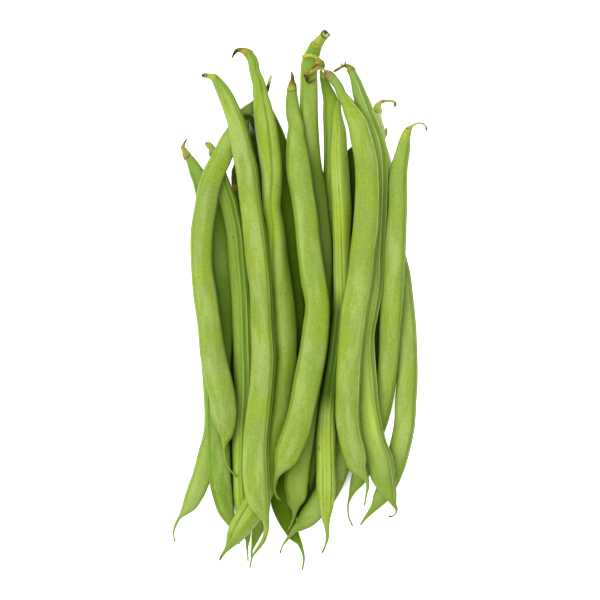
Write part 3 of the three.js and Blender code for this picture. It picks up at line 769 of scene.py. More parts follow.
# What the skins of a slot have in common.
SHARED: dict[Tone, dict[str, Any]] = {
    Tone.LIGHT: {},
    Tone.MID: {},
    Tone.YELLOW: dict(flank_tint_and_shade_shows=0.0),
    # The olive beans lie low in the heap: their deeper greens are partly their own and partly painted shade.
    Tone.OLIVE: dict(
        deep="3A5208", pale="64781E", neck="46621A", flank_tint_and_shade="3C580C", bloom="6C7C3C", bloom_shows=0.2, wax=1.1
    ),
    Tone.BLUE: dict(flank_tint_and_shade="507610", wax=1.18),
}


# ---- Pods ----

SPOT_EDGE = (1.3, 0.55)  # where a mark starts and where it is full, over its size


@dataclass(frozen=True)
class Mark:
    """A scar, a speck or a patch of painted shade: its place in plan, its size in millimetres and its
    colour.
    """

    x: float
    y: float
    size: float
    colour: str
    strength: float = 0.85
    longer: float = 1.0  # its length down the pod over its width

    def shows(self, points: np.ndarray) -> np.ndarray:
        """How much of the mark shows at points."""
        away = np.hypot(points[..., 0] - self.x, (points[..., 1] - self.y) / self.longer)
        return self.strength * smoothstep(*SPOT_EDGE, away / self.size)


@dataclass(frozen=True)
class Relief:
    """What stands out from a pod's oval, in millimetres."""

    cord: float = 0.10
    groove: float = 0.10
    flute: float = 0.16
    back: float = 0.07
    seeds: float = 0.15
    seed_spacing: float = 14.0
    uneven: float = 0.06
    squareness: float = 0.45  # how much fuller the shoulders are than an oval's
    flattened: float = 0.1  # how much the broad faces are drawn in for that


@dataclass
class Spots:
    """Where the points of a pod's surface are, in millimetres, and the angle from its seam."""

    away: np.ndarray
    turn: np.ndarray
    from_seam: np.ndarray
    from_back: np.ndarray
    from_neck: np.ndarray
    from_tail: np.ndarray
    body: np.ndarray  # 0 on a thin neck or beak, 1 on the full pod


@dataclass
class Pod:
    """One pod with its seam, its seeds' swellings and its beak."""

    number: int
    path: BeanPath
    tone: Tone
    skin: PodSkin
    relief: Relief
    marks: tuple[Mark, ...]
    beak_end: tuple[float, str]

    CORNERS = 64
    CORNER_CROWDING = 0.3  # how much closer the corners stand beside the seam and the back
    STEP = (0.2, 0.75)
    STEP_OVER_WIDTH = 0.2
    SAMPLES = 1500
    BEAK_REACH = 0.35
    BEAK_RINGS = (0.4, 0.75, 0.95)  # shares of the reach at which the rings past the end stand
    FULL_FROM = (1.0, 2.6)  # half widths between which a neck widens to the full pod
    CORD_WIDTH = 0.24
    GROOVE_OVER_GAP = 0.55
    FLUTE_PLACE, FLUTE_WIDTH = 0.75, 0.4
    BACK_WIDTH = 0.35
    BACK_FLUTE_PLACE, BACK_FLUTE_WIDTH = 1.1, 0.5
    LONG_WAVE, SHORT_WAVE = 26, 6
    FIRST_SEED, SEED_SHIFT, LAST_SEED = 16, 6, 22
    SEED_WIDTH = 4.2
    SEEDS_FADE = (6, 18)  # distances from the tail between which the swellings rise

    def distances(self) -> np.ndarray:
        """Spaces out the rings, closer where the pod is thin and past its last ring.

        Returns:
            Their distances along the bean.
        """
        fine = np.linspace(self.path.joint, self.path.end, self.SAMPLES)
        width = self.path.at(fine).long
        step = np.clip(width * self.STEP_OVER_WIDTH, *self.STEP)
        count = np.concatenate([[0], np.cumsum(np.diff(fine) / step[1:])])
        rings = np.interp(np.linspace(0, count[-1], int(count[-1]) + 1), count, fine)
        return np.concatenate([rings, self.path.end + self.BEAK_REACH * np.array(self.BEAK_RINGS)])

    def build(self) -> bpy.types.Object:
        """Makes the pod.

        Returns:
            The finished piece.
        """
        away = self.distances()[:, None]
        even = np.arange(self.CORNERS) / self.CORNERS * 2 * math.pi
        turn = (even - self.CORNER_CROWDING * np.sin(2 * even))[None, :]
        flat = np.zeros((len(away), self.CORNERS))
        place = self.path.at(away + flat)
        past = np.maximum(away - self.path.end, 0) / self.BEAK_REACH
        run = np.stack([place.across[..., 1], -place.across[..., 0], flat], axis=-1)
        place.centre = place.centre + run * (past * self.BEAK_REACH)[..., None]
        bent = np.abs((turn + math.pi) % (2 * math.pi) - math.pi)
        spots = Spots(
            away,
            turn,
            from_seam=place.short * bent,
            from_back=place.short * (math.pi - bent),
            from_neck=np.maximum(away - self.path.joint, 0),
            from_tail=np.maximum(self.path.end - away, 0),
            body=smoothstep(*self.FULL_FROM, place.long),
        )
        points = self.surface(place, spots, np.sqrt(np.maximum(1 - past**2, 0)))
        tube = Tube(f"pod_{self.number:02d}_skin", len(away), self.CORNERS)
        tube.shape(points)
        across = [spots.from_seam / SEAM_SPAN, spots.from_back / SEAM_SPAN]
        tube.mark("skin", np.stack([*across, spots.from_neck / END_SPAN + flat], axis=-1))
        tube.mark("from_tail", spots.from_tail / END_SPAN + flat)
        tube.mark("share", spots.from_neck / spots.from_neck.max() + flat)
        tube.mark("body", spots.body)
        radius = (place.long + place.short) / 2
        tube.mark("straight", np.stack([radius * np.cos(turn), radius * np.sin(turn), away + flat], axis=-1))
        tube.mark("blemish_and_painted_shade", self.blemishes_and_painted_shade(points, place, spots.from_tail + flat))
        piece = tube.piece(self.skin.material(f"bean_skin_{self.number:02d}"))
        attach(piece, "root")
        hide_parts(f"pod_{self.number:02d}")
        return piece

    def surface(self, place: Place, spots: Spots, rounded: np.ndarray) -> np.ndarray:
        """The pod's surface.

        Args:
            place: its sections.
            spots: where on the pod the points are.
            rounded: how full each section is: less past the end, where the beak closes.

        Returns:
            The points.
        """
        form, long, short = self.relief, place.long, place.short
        cos, sin = np.cos(spots.turn), np.sin(spots.turn)
        lift = self.lift(spots)
        steep = np.sqrt((cos / long) ** 2 + (sin / short) ** 2)
        over = short * np.sign(sin) * np.abs(sin) ** (1 - form.squareness * spots.body)
        over = over * (1 - form.flattened * spots.body)
        along = long * cos + lift * cos / long / steep
        return place.point(along * rounded, (over + lift * sin / short / steep) * rounded)

    def lift(self, spots: Spots) -> np.ndarray:
        """Works out what stands out from the oval: cords, groove, back, seeds and unevenness.

        Args:
            spots: where on the pod the points are.

        Returns:
            How far each of them stands out from the section's oval, in millimetres.
        """
        rng = np.random.default_rng(1000 + self.number)
        form, edge = self.relief, self.skin.cord_gap / 2
        lift = form.cord * hump(spots.from_seam - edge, self.CORD_WIDTH)
        lift -= form.groove * hump(spots.from_seam, self.GROOVE_OVER_GAP * edge)
        lift -= form.flute * hump(spots.from_seam - edge - self.FLUTE_PLACE, self.FLUTE_WIDTH)
        lift += form.back * hump(spots.from_back, self.BACK_WIDTH)
        lift -= 0.5 * form.flute * hump(spots.from_back - self.BACK_FLUTE_PLACE, self.BACK_FLUTE_WIDTH)
        lift = lift * spots.body
        lift = lift + self.seeds(rng, spots) * np.sin(spots.turn) ** 2 * spots.body
        waves = ripple(rng, spots.away, spots.turn, self.LONG_WAVE)
        lift = lift + form.uneven * waves * np.minimum(spots.body + 0.1, 1)
        return lift + 0.25 * form.uneven * ripple(rng, spots.away, spots.turn, self.SHORT_WAVE) * spots.body

    def seeds(self, rng: np.random.Generator, spots: Spots) -> np.ndarray:
        """Works out the swellings over the seeds.

        Args:
            rng: source of their places and sizes.
            spots: where on the pod the points are.

        Returns:
            The height of the swelling at each of them, in millimetres.
        """
        total = np.zeros(spots.from_neck.shape)
        place = self.FIRST_SEED + rng.uniform(0, self.SEED_SHIFT)
        last = float(spots.from_neck.max()) - self.LAST_SEED
        while place < last:
            total += rng.uniform(0.6, 1) * hump(spots.from_neck - place, self.SEED_WIDTH)
            place += self.relief.seed_spacing * rng.uniform(0.85, 1.2)
        return self.relief.seeds * total * smoothstep(*self.SEEDS_FADE, spots.from_tail)

    def blemishes_and_painted_shade(self, points: np.ndarray, place: Place, from_tail: np.ndarray) -> np.ndarray:
        """Colours the marks, which are scars, specks and patches of painted shade, and the beak's end.

        Args:
            points: the pod's surface.
            place: its sections.
            from_tail: distance from the tail.

        Returns:
            Red, green, blue and strength at every point.
        """
        colours = np.zeros((*points.shape[:2], 4))
        colours[..., :3] = linear("6B5A20")[:3]
        upper = points[..., 2] > place.centre[..., 2]
        reach, beak = self.beak_end
        shown = [(mark.shows(points) * upper, mark.colour) for mark in self.marks]
        shown.append((0.9 * smoothstep(*SPOT_EDGE, from_tail / reach), beak))
        for amount, colour in shown:
            stronger = amount > colours[..., 3]
            colours[stronger, :3] = linear(colour)[:3]
            colours[..., 3] = np.maximum(colours[..., 3], amount)
        return colours


# ---- Stalks ----

HOLLOW = -0.5  # stage of the inside of a hollow cut


@dataclass(frozen=True)
class Calyx:
    """The dried cup of the flower that clasps a pod's neck, in millimetres."""

    lobes: int = 5
    cup: float = 1.0  # how far it starts up the stalk
    reach: float = 0.9  # how far its lobes run down the neck
    thick: float = 0.12
    flare: float = 0.05
    ragged: float = 0.5


@dataclass(frozen=True)
class StalkLook:
    """Colours and end of a stalk.

    The tones are (place, hex): 0 is its tip, 1 the start of the calyx and 2 the tips of its lobes.
    """

    tones: tuple[tuple[float, str], ...] = (
        (0.0, "3E3010"), (0.25, "6A5C22"), (1.0, "7F8832"), (1.7, "8A9638"), (2.0, "6E6228"),
    )
    core: str | None = None  # colour inside the tip where it is a hollow cut, and not a withered point
    slant: float = 0.0  # how far the cut faces up
    blunt: float = 0.0  # least radius of a stalk that doesn't thin towards its tip, in millimetres
    spots: tuple[Mark, ...] = ()


@dataclass(frozen=True)
class Shred:
    """A dried lobe or thread that stands off a stalk: two places in plan and a width, in millimetres."""

    start: tuple[float, float]
    tip: tuple[float, float]
    width: float
    colour: str
    rise: float

    CORNERS = 10
    RINGS = 16
    TIP_WIDTH = 0.12  # over the width of its start
    BEND = 0.12  # the same
    FLATNESS = 0.6
    WRINKLE, WRINKLE_WAVE = 0.15, 0.6

    def build(self, carrier: np.ndarray) -> Tube:
        """Makes the shred.

        Args:
            carrier: points of what carries it, the nearest of which gives it its height.

        Returns:
            The shaped and coloured tube.
        """
        near = carrier[np.argmin(np.hypot(*(carrier[:, :2] - self.start).T))]
        share = np.linspace(0, 1, self.RINGS)[:, None]
        turn = (np.arange(self.CORNERS) / self.CORNERS * 2 * math.pi)[None, :]
        way = np.array([self.tip[0] - self.start[0], self.tip[1] - self.start[1], self.rise])
        aside = np.array([-way[1], way[0], 0]) / math.hypot(way[0], way[1])
        rng = np.random.default_rng(int(abs(self.tip[0]) * 1000))
        centre = np.array([*self.start, near[2]]) + share * way
        centre = centre + aside * (self.BEND * self.width * np.sin(share * rng.uniform(4, 7)))
        slimmer = self.TIP_WIDTH + (1 - self.TIP_WIDTH) * (1 - share) ** 0.7
        wrinkles = 1 + self.WRINKLE * ripple(rng, share, turn, self.WRINKLE_WAVE)
        radius = self.width * slimmer * wrinkles
        section = aside * np.cos(turn)[..., None] + np.array([0, 0, self.FLATNESS]) * np.sin(turn)[..., None]
        points = centre[:, None, :] + radius[..., None] * section
        tube = Tube("shred", self.RINGS, self.CORNERS)
        tube.shape(points)
        tube.mark("tone", np.broadcast_to(linear(self.colour), (*points.shape[:2], 4)))
        return tube


@dataclass
class Stalk:
    """One stalk with its calyx, which closes over the neck of the pod."""

    number: int
    path: BeanPath
    calyx: Calyx
    look: StalkLook
    shreds: tuple[Shred, ...]

    CORNERS = 32
    STEP = 0.16
    CUP_RINGS = 12
    INNER_RINGS = 5
    HUG = 0.05  # room between the calyx and the neck
    RIBS, RIB = 5, 0.07  # number of ribs, and their height over the radius
    RIB_TWIST = 0.9  # in radians for each millimetre
    UNEVEN, UNEVEN_WAVE = 0.05, 2.2
    SLANTED = 2.5  # how far a slanted cut reaches down the stalk
    CUT_RINGS = ((-0.10, 0.25), (-0.10, 0.6), (0.25, 0.8), (0.3, 0.95))  # (ahead, size) at a hollow cut
    TIP_RINGS = ((0.35, 0.2), (0.28, 0.6), (0.15, 0.88))  # the same at a withered point

    def build(self, material: bpy.types.Material) -> bpy.types.Object:
        """Makes the stalk.

        Args:
            material: its finish.

        Returns:
            The finished piece.
        """
        rng = np.random.default_rng(2000 + self.number)
        turn = np.arange(self.CORNERS) / self.CORNERS * 2 * math.pi
        away, lift, stage = self.rings(rng, turn)
        place = self.path.at(away)
        ribs = self.RIB * np.sin(self.RIBS * turn + self.RIB_TWIST * away)
        ribs = ribs + self.UNEVEN * ripple(rng, away, turn, self.UNEVEN_WAVE)
        ribs = 1 + ribs * np.where(stage < 1.05, 1, 0.5)
        tip = np.clip(1 - away / 0.8, 0, 1)
        swell = 1 + 0.12 * tip if self.look.core else 1 - 0.35 * tip**2
        blunt = self.look.blunt
        least = blunt * np.sqrt(1 - (1 - np.clip(away / (blunt + 1e-6), 0, 1)) ** 2)
        long = np.maximum((place.long + lift) * swell, least) * ribs
        short = np.maximum((place.short + lift) * swell, least) * ribs
        points = place.point(long * np.cos(turn), short * np.sin(turn))
        outward = np.array([-place.across[0, 0, 1], place.across[0, 0, 0], 0])
        drop = (place.centre - points)[..., 2:] * smoothstep(self.SLANTED, 0, away)[..., None]
        points, stage = self.closed_tip(points + outward * self.look.slant * drop, stage, outward)
        tube = Tube(f"stalk_{self.number:02d}_skin", len(points), self.CORNERS)
        tube.shape(points)
        shades = self.tones(stage)
        for spot in self.look.spots:
            amount = spot.shows(points)[..., None]
            shades = shades * (1 - amount) + np.array(linear(spot.colour)) * amount
        tube.mark("tone", shades)
        middles = self.path.at(np.linspace(0, self.path.end, 800)).centre
        join(tube.mesh, [shred.build(middles) for shred in self.shreds])
        piece = tube.piece(material)
        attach(piece, "root")
        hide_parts(f"stalk_{self.number:02d}")
        return piece

    def rings(
        self, rng: np.random.Generator, turn: np.ndarray
    ) -> tuple[np.ndarray, np.ndarray, np.ndarray]:
        """Lays out the rings: down the stalk, out over the calyx and back up inside it.

        Args:
            rng: source of the lobes' unevenness.
            turn: angle of each corner.

        Returns:
            For each ring and corner, its distance along the bean, its height over the solid and its
            stage: 0 at the tip, 1 at the start of the calyx and 2 at the tips of the lobes.
        """
        form, joint, ones = self.calyx, self.path.joint, np.ones(self.CORNERS)
        peaks = np.abs(np.cos(turn * form.lobes / 2)) ** 0.7
        uneven = ripple(rng, np.zeros(1), turn, 10)
        reach = form.reach * (0.35 + 0.65 * peaks) * (1 + form.ragged * 0.5 * uneven)
        reach = np.maximum(reach, 0.3)
        cup = min(form.cup, 0.6 * joint)
        start = joint - cup
        stem = np.linspace(0, start, max(6, int(start / self.STEP)))[:, None]
        out = np.linspace(0, 1, self.CUP_RINGS)[1:, None]
        back = np.linspace(1, 0, self.INNER_RINGS)[1:, None]
        inside = joint - self.HUG + back * (reach + self.HUG)
        away = np.vstack([stem * ones, start + out * (cup + reach), inside])
        thick = form.thick * smoothstep(0, 0.4, out) * (1 - 0.75 * out**3)
        outer = self.HUG + thick + form.flare * smoothstep(0.55, 1, out) * peaks
        inner = 0.6 * self.HUG + form.flare * smoothstep(0.4, 1, back) * peaks
        lift = np.vstack([0 * stem * ones, outer, inner])
        stage = np.vstack([stem / max(start, 1e-6) * ones, 1 + out * ones, 1 + back * ones])
        return away, lift, stage

    def closed_tip(
        self, points: np.ndarray, stage: np.ndarray, outward: np.ndarray
    ) -> tuple[np.ndarray, np.ndarray]:
        """Closes the tip, rounded or hollow.

        Args:
            points: the stalk's rings.
            stage: their stages.
            outward: unit vector that the tip points along, in plan.

        Returns:
            The points and stages, with those of the closing rings ahead of the first ring.
        """
        first = points[0]
        middle = first.mean(axis=0)
        profile = self.CUT_RINGS if self.look.core else self.TIP_RINGS
        rings = [middle + (first - middle) * share + outward * ahead for ahead, share in profile]
        rings = [np.maximum(ring, [-1e9, -1e9, 0]) for ring in rings]
        lead = np.zeros((len(rings), stage.shape[1]))
        if self.look.core:
            lead[:2] = HOLLOW
        return np.concatenate([np.array(rings), points]), np.vstack([lead, stage])

    def tones(self, stage: np.ndarray) -> np.ndarray:
        """Colours the stalk.

        Args:
            stage: stage of each ring and corner.

        Returns:
            Their linear RGBA colours.
        """
        places = [HOLLOW, *(place for place, _ in self.look.tones)]
        inside = self.look.core or self.look.tones[0][1]
        shades = np.array([linear(inside), *(linear(shade) for _, shade in self.look.tones)])
        return np.stack([np.interp(stage, places, shades[:, c]) for c in range(4)], axis=-1)


# ---- The flower twig ----


@dataclass
class FlowerTwig:
    """The withered twig at the stalks' end: its solid, evened out, wrinkled and coloured."""

    # Colours along it, as (x, y, hex) in plan, in millimetres.
    tones: tuple[tuple[float, float, str], ...] = (
        (0.9, 85.2, "8F8A34"), (1.9, 85.6, "B9BE4C"), (3.5, 85.9, "AEB64A"), (5.1, 85.4, "9FA83E"),
        (6.3, 84.4, "8C8630"), (7.2, 83.0, "766C26"), (8.2, 81.6, "8A8634"), (1.6, 78.5, "17110A"),
        (2.2, 77.4, "1E1608"), (2.6, 79.2, "6A5A1A"), (3.6, 80.0, "A09840"), (5.6, 81.2, "98903A"),
        (5.2, 77.4, "6A5A1E"), (3.4, 76.4, "4A3C12"),
    )
    shreds: tuple[Shred, ...] = (
        Shred((7.3, 82.0), (8.4, 84.1), 0.6, "7A6A24", 0.6),
        Shred((5.4, 83.6), (8.0, 83.0), 0.45, "A09C40", 0.8),
        Shred((7.0, 81.7), (10.2, 80.3), 0.5, "8F9A3C", 0.4),
        Shred((4.2, 81.3), (6.6, 83.4), 0.4, "5E5218", 0.6),
        Shred((6.9, 82.6), (9.0, 82.0), 0.4, "4E4210", 0.6),
        Shred((5.6, 82.6), (4.4, 84.0), 0.35, "8A842E", 0.5),
        Shred((2.6, 79.6), (1.0, 80.1), 0.35, "8A822C", 0.3),
        Shred((3.4, 80.3), (2.2, 79.2), 0.45, "86702E", 0.4),
    )
    voxel: float = 0.09
    wrinkle: float = 0.08
    wrinkle_sizes: tuple[float, ...] = (2.2, 1.3, 0.8, 0.5)
    blend: float = 0.15  # how softly its colours run into each other

    def build(self, material: bpy.types.Material) -> bpy.types.Object:
        """Makes the twig.

        Args:
            material: its finish.

        Returns:
            The finished piece.
        """
        mesh = self.evened()
        co = np.empty(len(mesh.vertices) * 3, np.float32)
        normals = np.empty(len(mesh.vertices) * 3, np.float32)
        mesh.vertices.foreach_get("co", co)
        mesh.vertex_normals.foreach_get("vector", normals)
        points, normals = co.reshape(-1, 3) / MM, normals.reshape(-1, 3)
        moved = points + normals * (self.wrinkle * self.creases(points))[:, None]
        mesh.vertices.foreach_set("co", (moved * MM).ravel().astype(np.float32))
        anchors = np.array([[x, y] for x, y, _ in self.tones])
        shades = np.array([linear(shade) for _, _, shade in self.tones])
        gap = np.linalg.norm(points[:, None, :2] - anchors[None], axis=2)
        weight = 1 / (gap + self.blend) ** 4
        tones = weight @ shades / weight.sum(axis=1)[:, None]
        attribute = mesh.attributes.new("tone", "FLOAT_COLOR", "POINT")
        attribute.data.foreach_set("color", tones.astype(np.float32).ravel())
        facing_up = normals[:, 2] > 0.5
        join(mesh, [shred.build(points[facing_up]) for shred in self.shreds])
        mesh.polygons.foreach_set("use_smooth", [True] * len(mesh.polygons))
        mesh.materials.clear()
        mesh.materials.append(material)
        mesh.update()
        twig = bpy.data.objects.new("flower_twig_skin", mesh)
        bpy.context.scene.collection.objects.link(twig)
        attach(twig, "root")
        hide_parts("flower_twig")
        return twig

    def evened(self) -> bpy.types.Mesh:
        """Copies the solid's mesh and evens it out.

        Returns:
            The copy, with even, finer and smoothed faces.
        """
        bm = bmesh.new()
        bm.from_mesh(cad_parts["flower_twig"].data)
        bmesh.ops.remove_doubles(bm, verts=bm.verts, dist=WELD)
        rough = bpy.data.meshes.new("twig_rough")
        bm.to_mesh(rough)
        bm.free()
        carrier = bpy.data.objects.new("twig_rough", rough)
        bpy.context.scene.collection.objects.link(carrier)
        remesh = carrier.modifiers.new("even", "REMESH")
        remesh.mode, remesh.voxel_size = "VOXEL", self.voxel * MM
        smooth = carrier.modifiers.new("smooth", "SMOOTH")
        smooth.factor, smooth.iterations = 0.5, 6
        evaluated = carrier.evaluated_get(bpy.context.evaluated_depsgraph_get())
        mesh = bpy.data.meshes.new_from_object(evaluated)
        bpy.data.objects.remove(carrier)
        bpy.data.meshes.remove(rough)
        return mesh

    def creases(self, points: np.ndarray) -> np.ndarray:
        """Works out the wrinkles.

        Args:
            points: points of the twig, as rows.

        Returns:
            Their heights, between about -1 and 1.
        """
        rng = np.random.default_rng(3000)
        total = np.zeros(len(points))
        for size in self.wrinkle_sizes:
            way = rng.normal(size=3)
            way *= 2 * math.pi / size / np.linalg.norm(way)
            total += np.sin(points @ way + rng.uniform(0, 6)) / 3
        return total


# ---- The bundle ----


@dataclass(frozen=True)
class Bean:
    """What sets one bean of the bundle apart."""

    number: int
    tone: Tone
    greens: tuple[str, str, str]  # the skin's base, warm and cool colours
    skin: dict[str, Any] = field(default_factory=dict)  # other settings of its PodSkin
    relief: Relief = Relief()
    marks: tuple[Mark, ...] = ()
    beak_end: tuple[float, str] = (0.9, "6B6A2C")
    calyx: Calyx = Calyx()
    look: StalkLook = StalkLook()
    shreds: tuple[Shred, ...] = ()

    DRIFT = 0.37

    def build(self, stem: bpy.types.Material) -> list[bpy.types.Object]:
        """Makes the bean's pod and stalk.

        Args:
            stem: finish of the stalk.

        Returns:
            The two pieces.
        """
        path = BeanPath(self.number)
        settings = {**SHARED[self.tone], **self.skin}
        skin = PodSkin(*self.greens, drift=self.DRIFT * self.number, **settings)
        pod = Pod(self.number, path, self.tone, skin, self.relief, self.marks, self.beak_end)
        stalk = Stalk(self.number, path, self.calyx, self.look, self.shreds)
        return [pod.build(), stalk.build(stem)]


def tones(*stops: tuple[float, str], **others: Any) -> StalkLook:
    """The look of a stalk, from its tones and StalkLook's other settings."""
    return StalkLook(stops, **others)


